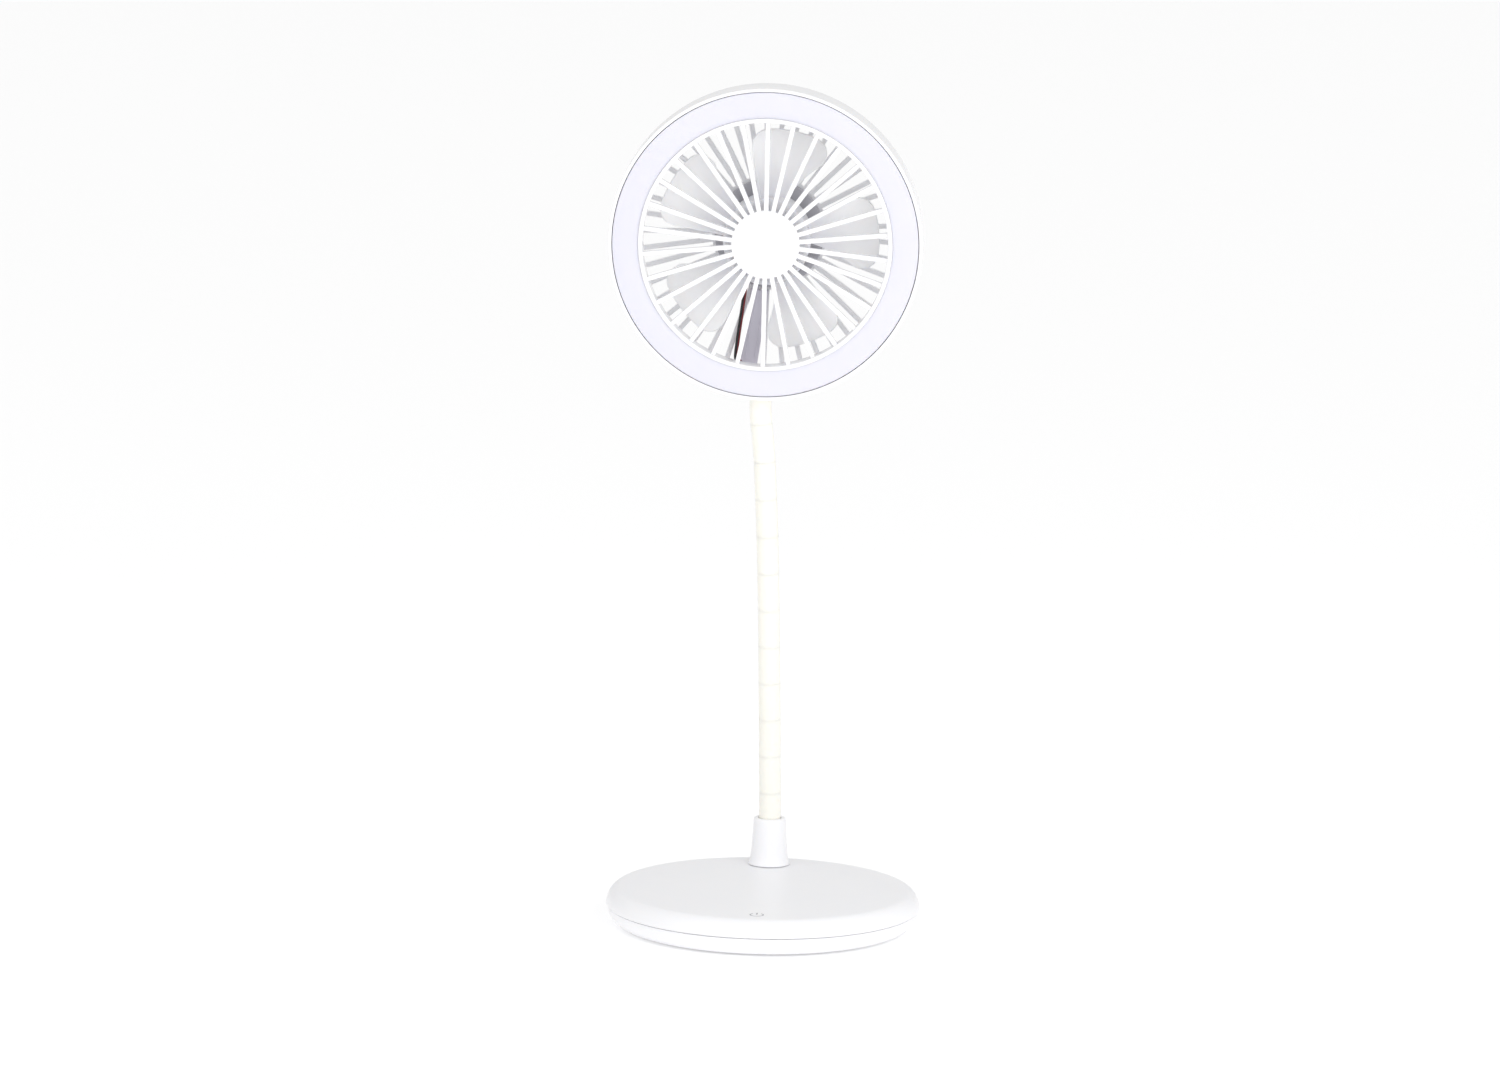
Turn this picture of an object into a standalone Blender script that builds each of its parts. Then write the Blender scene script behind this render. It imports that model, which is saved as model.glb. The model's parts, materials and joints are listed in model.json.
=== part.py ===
"""Desk fan with a ring light on a gooseneck and a round, low base.

The origin is the centre of the base's underside, +Z is up and the fan faces -Y.
The base and the neck are modelled in that frame. The head is modelled in a frame of
its own, with its origin on the fan's axis at the front plane, local +Z pointing out
of the front and local +Y up, and an empty stands it on the end of the neck.
"""

import math

import bmesh
import bpy
from mathutils import Matrix, Vector

MM = 0.001

# Clearances
SEAT_GAP = 0.3 * MM          # between pieces that rest on or clamp each other
SLIP_GAP = 0.05 * MM         # round a shaft that is pressed in or runs in a bush
HOLE_GAP = 0.35 * MM         # round a screw, ferrule or socket in its hole

# Base
BASE_RADIUS = 70.0 * MM
BASE_HEIGHT = 17.0 * MM
BASE_TOP_FILLET = 6.0 * MM   # how far in the flat top starts
BASE_FOOT_INSET = 8.1 * MM   # how far in the flat underside starts
SEAM_HEIGHT = 9.0 * MM
SEAM_WIDTH = 0.35 * MM
SEAM_STEP = 0.3 * MM         # how far the edges draw in at the seam
SHELL_WALL = 1.8 * MM
FLOOR_WALL = 1.6 * MM
LIP_WALL = 1.7 * MM
LIP_HEIGHT = 1.8 * MM
PAD_THICKNESS = 1.0 * MM
PAD_PROUD = 0.7 * MM
PAD_MARGIN = 3.9 * MM        # from the underside's edge in to the pad
BASE_BOSS_INSET = 18.0 * MM  # from the widest edge in to the screws
BASE_BOSS_RADIUS = 3.2 * MM
BASE_BOSS_LIFT = 2.3 * MM    # from the floor up to the end of the upper shell's bosses
BASE_COLUMN_WALL = 1.3 * MM
BASE_SCREW_COUNT = 4

# What the base holds
BALLAST_THICKNESS = 3.0 * MM
BALLAST_SHIFT = 6.0 * MM     # towards the front
BALLAST_CLEARANCE = 1.95 * MM
BATTERY_WIDTH = 50.0 * MM
BATTERY_LENGTH = 34.0 * MM
BATTERY_HEADROOM = 1.5 * MM
BATTERY_EDGE = 1.6 * MM
BOARD_SIZE = (30.0 * MM, 23.5 * MM, 1.0 * MM)
BOARD_SETBACK = 10.55 * MM   # from the widest edge in to the board
CHIP_SIZE = (6.0 * MM, 6.0 * MM, 1.2 * MM)
CHIP_SHIFT = 4.0 * MM
CHIP_SINK = 0.1 * MM
TOUCH_BOARD_SIZE = (14.0 * MM, 10.0 * MM, 1.0 * MM)
TOUCH_INSET = 14.0 * MM      # from the widest edge in to the touch key
USB_SIZE = (9.0 * MM, 7.8 * MM, 3.2 * MM)
USB_WALL = 0.4 * MM
USB_BACK_WALL = 1.5 * MM
USB_SETBACK = 3.4 * MM       # from the widest edge of the base in to the socket's mouth
USB_TONGUE = (6.0 * MM, 4.6 * MM, 0.7 * MM)

# Collar and gooseneck
NECK_INSET = 19.0 * MM       # from the base's widest edge in to the neck
NECK_RADIUS = 4.9 * MM
NECK_RISE = 188.5 * MM       # first joint to last joint, straight up
NECK_FORWARD = 16.0 * MM     # S-bend towards the front
NECK_LEAN = -3.9 * MM        # straight lean to the side
NECK_SWAY = -3.4 * MM        # bend to the side near the top
NECK_SWAY_POWER = 5
NECK_JOINTS = 12
NECK_SIDES = 12
SOCKET_GAP = 0.5 * MM        # between a link's ball end and the cup it turns in
CUP_RIM = 0.4 * MM
COLLAR_HEIGHT = 21.5 * MM
COLLAR_WALL = 2.3 * MM       # outside the neck, at the collar's top
COLLAR_TAPER = 2.1 * MM      # how much wider its foot is
COLLAR_EDGE = 1.0 * MM
FIRST_JOINT_RISE = 3.0 * MM  # above the collar
FERRULE_DROP = 9.2 * MM      # below the base's top
NUT_WALL = 3.7 * MM          # outside the neck, at a corner
NUT_HEIGHT = 4.0 * MM
WASHER_WIDTH = 3.9 * MM
WASHER_THICKNESS = 1.0 * MM

# Head
HEAD_RADIUS = 70.0 * MM
HEAD_ROLL = math.radians(1.0)
RIM_WALL = 1.55 * MM
RIM_PROUD = 0.45 * MM
HOUSING_WALL = 2.0 * MM
HOUSING_BACK_WALL = 1.9 * MM  # behind the hole for the neck
TROUGH_DEPTH = 6.2 * MM
TROUGH_FLOOR = 1.5 * MM
STEM_CLEARANCE = 0.6 * MM    # between the trough's floor and the neck
STEM_REACH = 4.0 * MM        # from the housing's underside down to the last joint
STEM_INSERT = 9.7 * MM       # how far the ferrule goes into the housing
LIGHT_WIDTH = 11.25 * MM
GRILLE_RING_WIDTH = 1.9 * MM
GRILLE_RING_PROUD = 0.9 * MM
GRILLE_RING_DEPTH = 9.0 * MM
DUCT_WALL = 1.4 * MM
DUCT_WALL_SHORT = 4.0 * MM   # how far the duct wall ends in front of the housing's back
DIFFUSER_THICKNESS = 1.8 * MM
DIFFUSER_CROWN = 0.25 * MM
DIFFUSER_EDGE = 0.4 * MM
DIFFUSER_SKIRT = 1.2 * MM
DIFFUSER_SKIRT_DROP = 1.6 * MM
LED_BOARD_THICKNESS = 1.0 * MM
LED_COUNT = 24
LED_SIZE = (2.8 * MM, 3.5 * MM, 0.7 * MM)
LED_SINK = 0.1 * MM

# Front grille
SPOKE_COUNT = 30
SPOKE_WIDTH = 2.0 * MM
SPOKE_FRONT = 1.0 * MM       # behind the front plane
SPOKE_THICKNESS = 3.0 * MM
SPOKE_PHASE = math.radians(0.9)
HUB_RADIUS = 15.2 * MM
HUB_CROWN = 0.5 * MM
HUB_LIFT = 0.3 * MM          # its edge in front of the spokes
HUB_BACK_INSET = 0.6 * MM
HUB_OVERLAP = 0.7 * MM

# Rear grille
BOWL_DEPTH = 21.4 * MM
BOWL_INSET = 2.0 * MM        # inside the housing's outline
BOWL_CORNER = 12.0 * MM
BOWL_CORNER_DEPTH = 11.7 * MM
BOWL_WALL = 2.2 * MM
FLANGE_THICKNESS = 2.0 * MM
FLANGE_INSET = 1.1 * MM
FLANGE_WIDTH = 8.1 * MM
RIB_COUNT = 45
RIB_WIDTH = 2.2 * MM
RIB_PHASE = math.radians(5.6)
RIB_ROOT = 0.9 * MM          # from the flange back to the first gap
REAR_HUB_RADIUS = 26.0 * MM
HOUSING_SCREW_INSET = 6.7 * MM
HOUSING_SCREW_COUNT = 4
HOUSING_BOSS_RADIUS = 2.3 * MM
DUCT_WIDTH = 8.0 * MM
DUCT_HEIGHT = 3.0 * MM
DUCT_SKIN = 0.9 * MM
DUCT_ANGLE = math.radians(187.0)

# Motor
MOTOR_RADIUS = 12.2 * MM
MOTOR_LENGTH = 20.0 * MM
MOTOR_SKIN = 0.7 * MM
MOTOR_FACE = 1.0 * MM
MOTOR_EDGE = 0.6 * MM
END_CAP_THICKNESS = 2.0 * MM
BUSH_RADIUS = 3.0 * MM
BUSH_LENGTH = 2.4 * MM
BUSH_PROUD = 0.6 * MM
SHAFT_RADIUS = 1.0 * MM
SHAFT_END_GAP = 0.4 * MM
MAGNET_THICKNESS = 2.2 * MM
MAGNET_OVERHANG = 1.0 * MM
ARMATURE_LENGTH = 8.0 * MM
ARMATURE_TAPER = 1.0 * MM
AIR_GAP = 0.5 * MM
MOUNT_MARGIN = 1.4 * MM      # inside the rear hub's outline
MOUNT_THICKNESS = 2.0 * MM
MOUNT_CUP_WALL = 2.0 * MM
MOUNT_CUP_HEIGHT = 13.0 * MM
MOUNT_BOSS_RADIUS = 2.4 * MM
MOUNT_BOSS_HEIGHT = 2.6 * MM
MOUNT_BOSS_SINK = 0.8 * MM
MOUNT_SCREW_INSET = 4.6 * MM
MOUNT_SCREW_COUNT = 3
CLAMP_STANDOFF = 0.7 * MM    # from the trough's floor back to the clamp
CLAMP_WALL = 1.2 * MM        # behind the ferrule
CLAMP_WEB = 1.9 * MM         # between the ferrule's bore and a screw
CLAMP_LOW = 1.6 * MM         # above the housing's wall
CLAMP_OVERHANG = 0.2 * MM    # past the end of the ferrule
CLAMP_SIDE = 0.5 * MM        # outside a screw's well
CLAMP_SCREW_RISE = 5.0 * MM
LEAD_RADIUS = 0.55 * MM
LEAD_SHIFT = (0.75 * MM, 0.0, -1.1 * MM)  # from the black lead to the red one behind it
LEAD_LIFT = 1.7 * MM         # in front of the motor's back
LEAD_ASIDE = 13.2 * MM       # how far to the side the leads' straight run ends
LEAD_EXIT = math.radians(214.0)  # where they leave the mount's cup
LEAD_TURN = 5.5 * MM         # from there on to the end of the neck
LEAD_CORNER = 3.2 * MM

# Impeller
IMPELLER_CLEARANCE = 4.7 * MM  # inside the front opening
BLADE_COUNT = 5
BLADE_TIP_SPAN = math.radians(46.0)
BLADE_ROOT_SPAN = math.radians(34.0)
BLADE_START = math.radians(-11.3)
BLADE_THICKNESS = 1.3 * MM
BLADE_CORNER = 9.0 * MM
BLADE_FRONT_INSET = 1.6 * MM  # behind the hub's face
BLADE_REAR_INSET = 4.5 * MM   # in front of the hub's back edge
BLADE_CAMBER = 0.10
BLADE_WASHOUT = 0.25          # how much flatter the tip is than the root
ROTOR_HUB_GAP = 3.4 * MM      # round the mount's cup
ROTOR_HUB_WALL = 1.5 * MM
ROTOR_HUB_EDGE = 1.6 * MM
ROTOR_BOSS_RADIUS = 3.4 * MM
ROTOR_BOSS_LENGTH = 5.0 * MM
ROTOR_BOSS_GAP = 1.4 * MM     # in front of the motor
ROTOR_TAIL_GAP = 3.6 * MM     # in front of the mount's screw bosses

RING_STEPS = 40
BASE_STEPS = 40
GRILLE_STEPS = 2 * SPOKE_COUNT
SMALL_STEPS = 24
SCREW_STEPS = 12

# Heights and places in the base that follow from the sizes above
PAD_RADIUS = BASE_RADIUS - BASE_FOOT_INSET - PAD_MARGIN
PAD_CEILING = PAD_THICKNESS + SEAT_GAP
FLOOR_TOP = PAD_CEILING + FLOOR_WALL
CEILING = BASE_HEIGHT - SHELL_WALL
BASE_BOSS_CIRCLE = BASE_RADIUS - BASE_BOSS_INSET
BASE_BOSS_END = FLOOR_TOP + BASE_BOSS_LIFT
BOARD_BACK = BASE_RADIUS - BOARD_SETBACK
BOARD_FRONT = BOARD_BACK - BOARD_SIZE[1]
BOARD_BOTTOM = FLOOR_TOP + SEAT_GAP
BALLAST_RADIUS = BOARD_FRONT + BALLAST_SHIFT - BALLAST_CLEARANCE
BALLAST_TOP = BOARD_BOTTOM + BALLAST_THICKNESS
NECK_SETBACK = BASE_RADIUS - NECK_INSET
NECK_BORE = NECK_RADIUS + HOLE_GAP
COLLAR_TOP = BASE_HEIGHT + COLLAR_HEIGHT
FIRST_JOINT = COLLAR_TOP + FIRST_JOINT_RISE

# Depths behind the front plane, and radii in the head
STEM_DEPTH = TROUGH_DEPTH + TROUGH_FLOOR + STEM_CLEARANCE + NECK_RADIUS
STEM_LENGTH = HEAD_RADIUS + STEM_REACH
HOUSING_DEPTH = STEM_DEPTH + NECK_RADIUS + HOUSING_BACK_WALL
FLOOR_BACK = TROUGH_DEPTH + TROUGH_FLOOR
BOWL_FRONT = HOUSING_DEPTH + SEAT_GAP
BOWL_REAR = BOWL_FRONT + BOWL_DEPTH
BOWL_INSIDE = BOWL_REAR - BOWL_WALL
MOUNT_BACK = BOWL_INSIDE - SEAT_GAP
MOUNT_FRONT = MOUNT_BACK - MOUNT_THICKNESS
MOTOR_BACK = MOUNT_FRONT - SEAT_GAP
MOTOR_FRONT = MOTOR_BACK - MOTOR_LENGTH
ROTOR_HUB_FRONT = MOTOR_FRONT - ROTOR_BOSS_GAP - ROTOR_BOSS_LENGTH - ROTOR_HUB_WALL
ROTOR_HUB_REAR = MOUNT_FRONT - MOUNT_BOSS_HEIGHT - ROTOR_TAIL_GAP
BLADE_FRONT = ROTOR_HUB_FRONT + BLADE_FRONT_INSET
BLADE_REAR = ROTOR_HUB_REAR - BLADE_REAR_INSET
LIGHT_OUTER_RADIUS = HEAD_RADIUS - RIM_WALL - SEAT_GAP
LIGHT_INNER_RADIUS = LIGHT_OUTER_RADIUS - LIGHT_WIDTH
GRILLE_RADIUS = LIGHT_INNER_RADIUS - SEAT_GAP
OPENING_RADIUS = GRILLE_RADIUS - GRILLE_RING_WIDTH
TROUGH_INNER_RADIUS = GRILLE_RADIUS + HOLE_GAP
BOWL_RADIUS = HEAD_RADIUS - BOWL_INSET
BOWL_FLAT_RADIUS = BOWL_RADIUS - BOWL_CORNER
FLANGE_RADIUS = HEAD_RADIUS - FLANGE_INSET
HOUSING_SCREW_CIRCLE = HEAD_RADIUS - HOUSING_SCREW_INSET
MOUNT_RADIUS = REAR_HUB_RADIUS - MOUNT_MARGIN
MOUNT_SCREW_CIRCLE = MOUNT_RADIUS - MOUNT_SCREW_INSET
MOUNT_CUP_RADIUS = MOTOR_RADIUS + SEAT_GAP + MOUNT_CUP_WALL
ROTOR_HUB_RADIUS = MOUNT_CUP_RADIUS + ROTOR_HUB_GAP + ROTOR_HUB_WALL
IMPELLER_RADIUS = OPENING_RADIUS - IMPELLER_CLEARANCE
CLAMP_FRONT = FLOOR_BACK + CLAMP_STANDOFF
CLAMP_BACK = STEM_DEPTH + NECK_BORE + CLAMP_WALL

# Screws: head radius, head height, shank radius, shank length
BASE_SCREW = (2.5 * MM, 1.3 * MM, 1.2 * MM, CEILING - BASE_BOSS_END - 0.5 * MM)
HOUSING_SCREW = (2.0 * MM, 1.3 * MM, 1.0 * MM, 8.5 * MM)
MOUNT_SCREW = (2.0 * MM, 1.0 * MM, 0.9 * MM, 5.6 * MM)
CLAMP_SCREW = (1.7 * MM, 1.0 * MM, 0.8 * MM, CLAMP_BACK - FLOOR_BACK - 0.7 * MM)


# ---------------------------------------------------------------- scene helpers

def clear_scene():
    """Removes every object of the scene."""
    for old in list(bpy.data.objects):
        bpy.data.objects.remove(old, do_unlink=True)


def make_collection(name):
    """A new collection in the scene."""
    collection = bpy.data.collections.new(name)
    bpy.context.scene.collection.children.link(collection)
    return collection


def make_material(name, colour, roughness, metallic=0.0):
    """A Principled material of one colour."""
    material = bpy.data.materials.new(name)
    material.use_nodes = True
    shader = material.node_tree.nodes["Principled BSDF"]
    shader.inputs["Base Color"].default_value = (*colour, 1.0)
    shader.inputs["Roughness"].default_value = roughness
    shader.inputs["Metallic"].default_value = metallic
    return material


clear_scene()
PARTS = make_collection("desk_fan")
CUTTERS = make_collection("desk_fan_cutters")

WHITE_ABS = make_material("white_abs", (0.86, 0.86, 0.88), 0.28)
MILKY_DIFFUSER = make_material("milky_diffuser", (0.80, 0.80, 0.88), 0.35)
MILKY_IMPELLER = make_material("milky_impeller", (0.72, 0.72, 0.75), 0.40)
SLEEVE = make_material("silicone_sleeve", (0.84, 0.82, 0.76), 0.55)
GREY_MOUNT = make_material("grey_mount", (0.30, 0.29, 0.33), 0.45)
STEEL = make_material("zinc_steel", (0.60, 0.60, 0.62), 0.30, 1.0)
DARK_IRON = make_material("dark_iron", (0.12, 0.12, 0.13), 0.55, 1.0)
BRONZE = make_material("sintered_bronze", (0.55, 0.38, 0.20), 0.45, 1.0)
PAD_RUBBER = make_material("pad_rubber", (0.55, 0.55, 0.57), 0.80)
GREEN_BOARD = make_material("green_board", (0.02, 0.16, 0.07), 0.40)
WHITE_BOARD = make_material("white_board", (0.85, 0.85, 0.83), 0.40)
CELL_FOIL = make_material("cell_foil", (0.55, 0.57, 0.60), 0.35, 0.6)
BLACK_WIRE = make_material("black_wire", (0.01, 0.01, 0.01), 0.45)
RED_WIRE = make_material("red_wire", (0.30, 0.01, 0.01), 0.45)
BLACK_MOULDING = make_material("black_moulding", (0.02, 0.02, 0.02), 0.40)


def add_object(name, mesh, material=None, parent=None, smooth=True):
    """A node when it has a material, else a hidden cutter."""
    obj = bpy.data.objects.new(name, mesh)
    if material:
        mesh.materials.append(material)
        PARTS.objects.link(obj)
    else:
        CUTTERS.objects.link(obj)
        obj.hide_render = True
        obj.display_type = "WIRE"
    obj.parent = parent
    if smooth and mesh.polygons:
        mesh.shade_smooth()
        mesh.set_sharp_from_angle(angle=math.radians(35))
    return obj


def lathe(name, profile, material=None, parent=None, steps=RING_STEPS, phase=0.0):
    """A profile of (radius, height) points turned about the local Z axis.

    The profile runs down its outer side. One that starts and ends on the axis makes a
    solid of revolution, and any other is closed into a ring.
    """
    mesh = bpy.data.meshes.new(name)
    points = [(radius, 0.0, height) for radius, height in profile]
    edges = [(i, i + 1) for i in range(len(points) - 1)]
    if profile[0][0] > 0.0:
        edges.append((len(points) - 1, 0))
    mesh.from_pydata(points, edges, [])
    mesh.transform(Matrix.Rotation(phase, 4, "Z"))
    obj = add_object(name, mesh, material, parent)
    screw = obj.modifiers.new("turn", "SCREW")
    screw.axis = "Z"
    screw.angle = math.tau
    screw.steps = steps
    screw.render_steps = steps
    screw.use_merge_vertices = True
    screw.merge_threshold = 1e-6
    screw.use_smooth_shade = True
    return obj


def arc(centre, radii, start, end, count):
    """Points of an elliptical arc round (radius, height), both ends included."""
    points = []
    for i in range(count + 1):
        angle = math.radians(start + (end - start) * i / count)
        across = centre[0] + radii[0] * math.cos(angle)
        points.append((across, centre[1] + radii[1] * math.sin(angle)))
    return points


def disc(radius, top, bottom):
    """The profile of a plain cylinder on the axis."""
    return [(0.0, top), (radius, top), (radius, bottom), (0.0, bottom)]


def ring(inner, outer, top, bottom):
    """The profile of a plain ring."""
    return [(outer, top), (outer, bottom), (inner, bottom), (inner, top)]


def mesh_from(name, bm):
    """The bmesh as a mesh with its normals out, and the bmesh freed."""
    bmesh.ops.recalc_face_normals(bm, faces=bm.faces)
    mesh = bpy.data.meshes.new(name)
    bm.to_mesh(mesh)
    bm.free()
    return mesh


def add_box(bm, size, centre, turn=0.0, about=(0.0, 0.0, 0.0)):
    """A box in the bmesh, turned about an upright line through about."""
    place = (
        Matrix.Translation(about)
        @ Matrix.Rotation(turn, 4, "Z")
        @ Matrix.Translation(centre)
        @ Matrix.Diagonal((*size, 1.0))
    )
    bmesh.ops.create_cube(bm, size=1.0, matrix=place)


def box(name, size, centre, material=None, parent=None):
    """One box as an object."""
    bm = bmesh.new()
    add_box(bm, size, centre)
    return add_object(name, mesh_from(name, bm), material, parent, smooth=False)


def posts(name, places, radius, top, bottom, steps=SCREW_STEPS, parent=None, material=None):
    """Upright cylinders in one mesh, at (x, y) places."""
    bm = bmesh.new()
    for x, y in places:
        bmesh.ops.create_cone(
            bm,
            cap_ends=True,
            segments=steps,
            radius1=radius,
            radius2=radius,
            depth=top - bottom,
            matrix=Matrix.Translation((x, y, (top + bottom) / 2)),
        )
    return add_object(name, mesh_from(name, bm), material, parent)


def boolean(obj, other, operation):
    """Adds an exact Boolean modifier."""
    modifier = obj.modifiers.new(f"{operation.lower()}_{other.name}", "BOOLEAN")
    modifier.operation = operation
    modifier.solver = "EXACT"
    modifier.object = other
    return obj


def cut(obj, cutter):
    """Takes the cutter away from the object."""
    return boolean(obj, cutter, "DIFFERENCE")


def join(obj, other):
    """Joins the helper to the object."""
    return boolean(obj, other, "UNION")


def on_circle(radius, count, start):
    """Evenly spaced (x, y) places on a circle."""
    angles = [start + math.tau * i / count for i in range(count)]
    return [(radius * math.cos(angle), radius * math.sin(angle)) for angle in angles]


def clockwise(radius, angle):
    """(x, y) at an angle clockwise from local +Y, as the front shows it."""
    return radius * math.sin(angle), radius * math.cos(angle)


def screw_profile(size):
    """A pan-head screw: the head's seat at height 0, the shank below it."""
    head_radius, head_height, shank_radius, length = size
    return [
        (0.0, head_height),
        (head_radius * 0.7, head_height),
        (head_radius, head_height * 0.45),
        (head_radius, 0.0),
        (shank_radius, 0.0),
        (shank_radius, -length + shank_radius),
        (0.0, -length),
    ]


def screws(stem, places, seat, size, parent=None, material=STEEL):
    """Screws driven from below, so their heads hang under their seats."""
    for i, (x, y) in enumerate(places, start=1):
        screw = lathe(f"{stem}_{i}", screw_profile(size), material, parent, SCREW_STEPS)
        screw.location = (x, y, seat)
        screw.rotation_euler = (math.pi, 0.0, 0.0)


# ------------------------------------------------------------------------- base

BOSS_PLACES = on_circle(BASE_BOSS_CIRCLE, BASE_SCREW_COUNT, math.radians(45))
NECK_PLACE = (0.0, NECK_SETBACK)


def base_top_shell():
    """The upper shell: a flat deck with an elliptical edge, and four screw bosses."""
    seam = SEAM_HEIGHT + SEAM_WIDTH / 2
    edge_foot = seam + SEAM_STEP
    deck_radius = BASE_RADIUS - BASE_TOP_FILLET
    profile = [(0.0, BASE_HEIGHT)]
    profile += arc((deck_radius, edge_foot), (BASE_TOP_FILLET, BASE_HEIGHT - edge_foot), 90, 0, 4)
    profile += [(BASE_RADIUS - SEAM_STEP, seam), (BASE_RADIUS - SHELL_WALL, seam)]
    lip_clear = seam + LIP_HEIGHT + SEAT_GAP
    inner = (BASE_TOP_FILLET - SHELL_WALL, CEILING - lip_clear)
    profile += arc((deck_radius, lip_clear), inner, 0, 90, 3)
    profile += [(0.0, CEILING)]
    shell = lathe("base_top_shell", profile, WHITE_ABS, steps=BASE_STEPS)
    boss_root = CEILING + SHELL_WALL / 3
    join(shell, posts("top_bosses", BOSS_PLACES, BASE_BOSS_RADIUS, boss_root, BASE_BOSS_END))
    pilot_top = BASE_BOSS_END + BASE_SCREW[3]
    pilot = posts("top_pilots", BOSS_PLACES, BASE_SCREW[2] + SLIP_GAP, pilot_top, 0.0)
    cut(shell, pilot)
    cut(shell, posts("neck_hole", [NECK_PLACE], NECK_BORE, COLLAR_TOP, 0.0, SMALL_STEPS))


def base_bottom_shell():
    """The lower shell: a round-sided tray with a lip, a pad recess and screw columns."""
    seam = SEAM_HEIGHT - SEAM_WIDTH / 2
    edge_radius = BASE_RADIUS - 2 * SEAM_STEP
    lip_radius = BASE_RADIUS - SHELL_WALL - SEAT_GAP
    inner_radius = lip_radius - LIP_WALL
    foot_radius = BASE_RADIUS - BASE_FOOT_INSET
    recess_radius = PAD_RADIUS + SEAT_GAP
    profile = [(0.0, FLOOR_TOP)]
    profile += arc((foot_radius, seam), (inner_radius - foot_radius, seam - FLOOR_TOP), -90, 0, 2)
    profile += [(inner_radius, seam + LIP_HEIGHT), (lip_radius, seam + LIP_HEIGHT), (lip_radius, seam)]
    outer = (edge_radius - foot_radius, seam - PAD_PROUD)
    profile += arc((foot_radius, seam), outer, 0, -90, 5)
    profile += [(recess_radius, PAD_PROUD), (recess_radius, PAD_CEILING), (0.0, PAD_CEILING)]
    shell = lathe("base_bottom_shell", profile, WHITE_ABS, steps=BASE_STEPS)
    column_radius = BASE_SCREW[0] + HOLE_GAP + BASE_COLUMN_WALL
    column_top = BASE_BOSS_END - SEAT_GAP
    column_bottom = PAD_CEILING + FLOOR_WALL / 3
    join(shell, posts("bottom_columns", BOSS_PLACES, column_radius, column_top, column_bottom))
    cut(shell, posts("screw_holes", BOSS_PLACES, BASE_SCREW[2] + HOLE_GAP, BASE_HEIGHT, 0.0))
    seat = base_screw_seat()
    cut(shell, posts("screw_wells", BOSS_PLACES, BASE_SCREW[0] + HOLE_GAP, seat, 0.0))
    width, length, height = USB_SIZE
    slot = (width + 2 * HOLE_GAP, 2 * length, height + 2 * HOLE_GAP)
    cut(shell, box("usb_slot", slot, (0.0, BASE_RADIUS, usb_height())))


def base_screw_seat():
    """Height of the ledge that a base screw's head pulls against."""
    return PAD_CEILING + BASE_SCREW[1] + 2 * SEAT_GAP


def usb_height():
    """Height of the USB socket's centre, on the main board."""
    return BOARD_BOTTOM + BOARD_SIZE[2] + SEAT_GAP + USB_SIZE[2] / 2


def base_contents():
    """The pad, the screws and everything between the two shells."""
    lathe("anti_slip_pad", disc(PAD_RADIUS, PAD_THICKNESS, 0.0), PAD_RUBBER, steps=BASE_STEPS)
    screws("base_screw", BOSS_PLACES, base_screw_seat() - SEAT_GAP, BASE_SCREW)
    plate = disc(BALLAST_RADIUS, BALLAST_TOP, BOARD_BOTTOM)
    ballast = lathe("ballast_plate", plate, STEEL)
    ballast.location = (0.0, -BALLAST_SHIFT, 0.0)
    low = BALLAST_TOP + SEAT_GAP
    high = CEILING - BATTERY_HEADROOM
    size = (BATTERY_WIDTH, BATTERY_LENGTH, high - low)
    battery = box("battery_pack", size, (0.0, -BALLAST_SHIFT, (high + low) / 2), CELL_FOIL)
    round_edges(battery, BATTERY_EDGE)
    main_board()
    usb_inlet()
    touch_height = CEILING - SEAT_GAP - TOUCH_BOARD_SIZE[2] / 2
    touch_place = (0.0, TOUCH_INSET - BASE_RADIUS, touch_height)
    box("touch_board", TOUCH_BOARD_SIZE, touch_place, GREEN_BOARD)


def round_edges(obj, width, segments=2):
    """Rounds the object's edges with a Bevel modifier."""
    bevel = obj.modifiers.new("round", "BEVEL")
    bevel.width = width
    bevel.segments = segments
    bevel.limit_method = "ANGLE"


def main_board():
    """The circuit board with its two chips."""
    middle = (BOARD_BACK + BOARD_FRONT) / 2
    centre = (0.0, middle, BOARD_BOTTOM + BOARD_SIZE[2] / 2)
    board = box("main_board", BOARD_SIZE, centre, GREEN_BOARD)
    chip_height = BOARD_BOTTOM + BOARD_SIZE[2] + CHIP_SIZE[2] / 2 - CHIP_SINK
    bm = bmesh.new()
    for side in (-1, 1):
        add_box(bm, CHIP_SIZE, (side * BOARD_SIZE[0] / 4, middle - CHIP_SHIFT, chip_height))
    join(board, add_object("chips", mesh_from("chips", bm), smooth=False))


def usb_inlet():
    """The USB socket's metal shell on the board's rear edge, and the tongue inside it."""
    width, length, height = USB_SIZE
    mouth = BASE_RADIUS - USB_SETBACK
    middle = mouth - length / 2
    socket = box("usb_inlet_shell", USB_SIZE, (0.0, middle, usb_height()), STEEL)
    round_edges(socket, height / 3)
    hollow_size = (width - 2 * USB_WALL, length, height - 2 * USB_WALL)
    hollow = box("usb_hollow", hollow_size, (0.0, middle + USB_BACK_WALL, usb_height()))
    round_edges(hollow, hollow_size[2] / 3)
    cut(socket, hollow)
    tongue_back = mouth - length + USB_BACK_WALL + SEAT_GAP
    tongue_place = (0.0, tongue_back + USB_TONGUE[1] / 2, usb_height())
    box("usb_inlet_tongue", USB_TONGUE, tongue_place, BLACK_MOULDING)


# ------------------------------------------------------------ collar and gooseneck

def neck_point(share):
    """A point of the neck's line at rest, from 0 at the first joint to 1 at the last."""
    ease = share * share * (3.0 - 2.0 * share)
    return Vector(
        (
            NECK_LEAN * share + NECK_SWAY * share**NECK_SWAY_POWER,
            NECK_SETBACK - NECK_FORWARD * ease,
            FIRST_JOINT + NECK_RISE * share,
        )
    )


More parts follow.
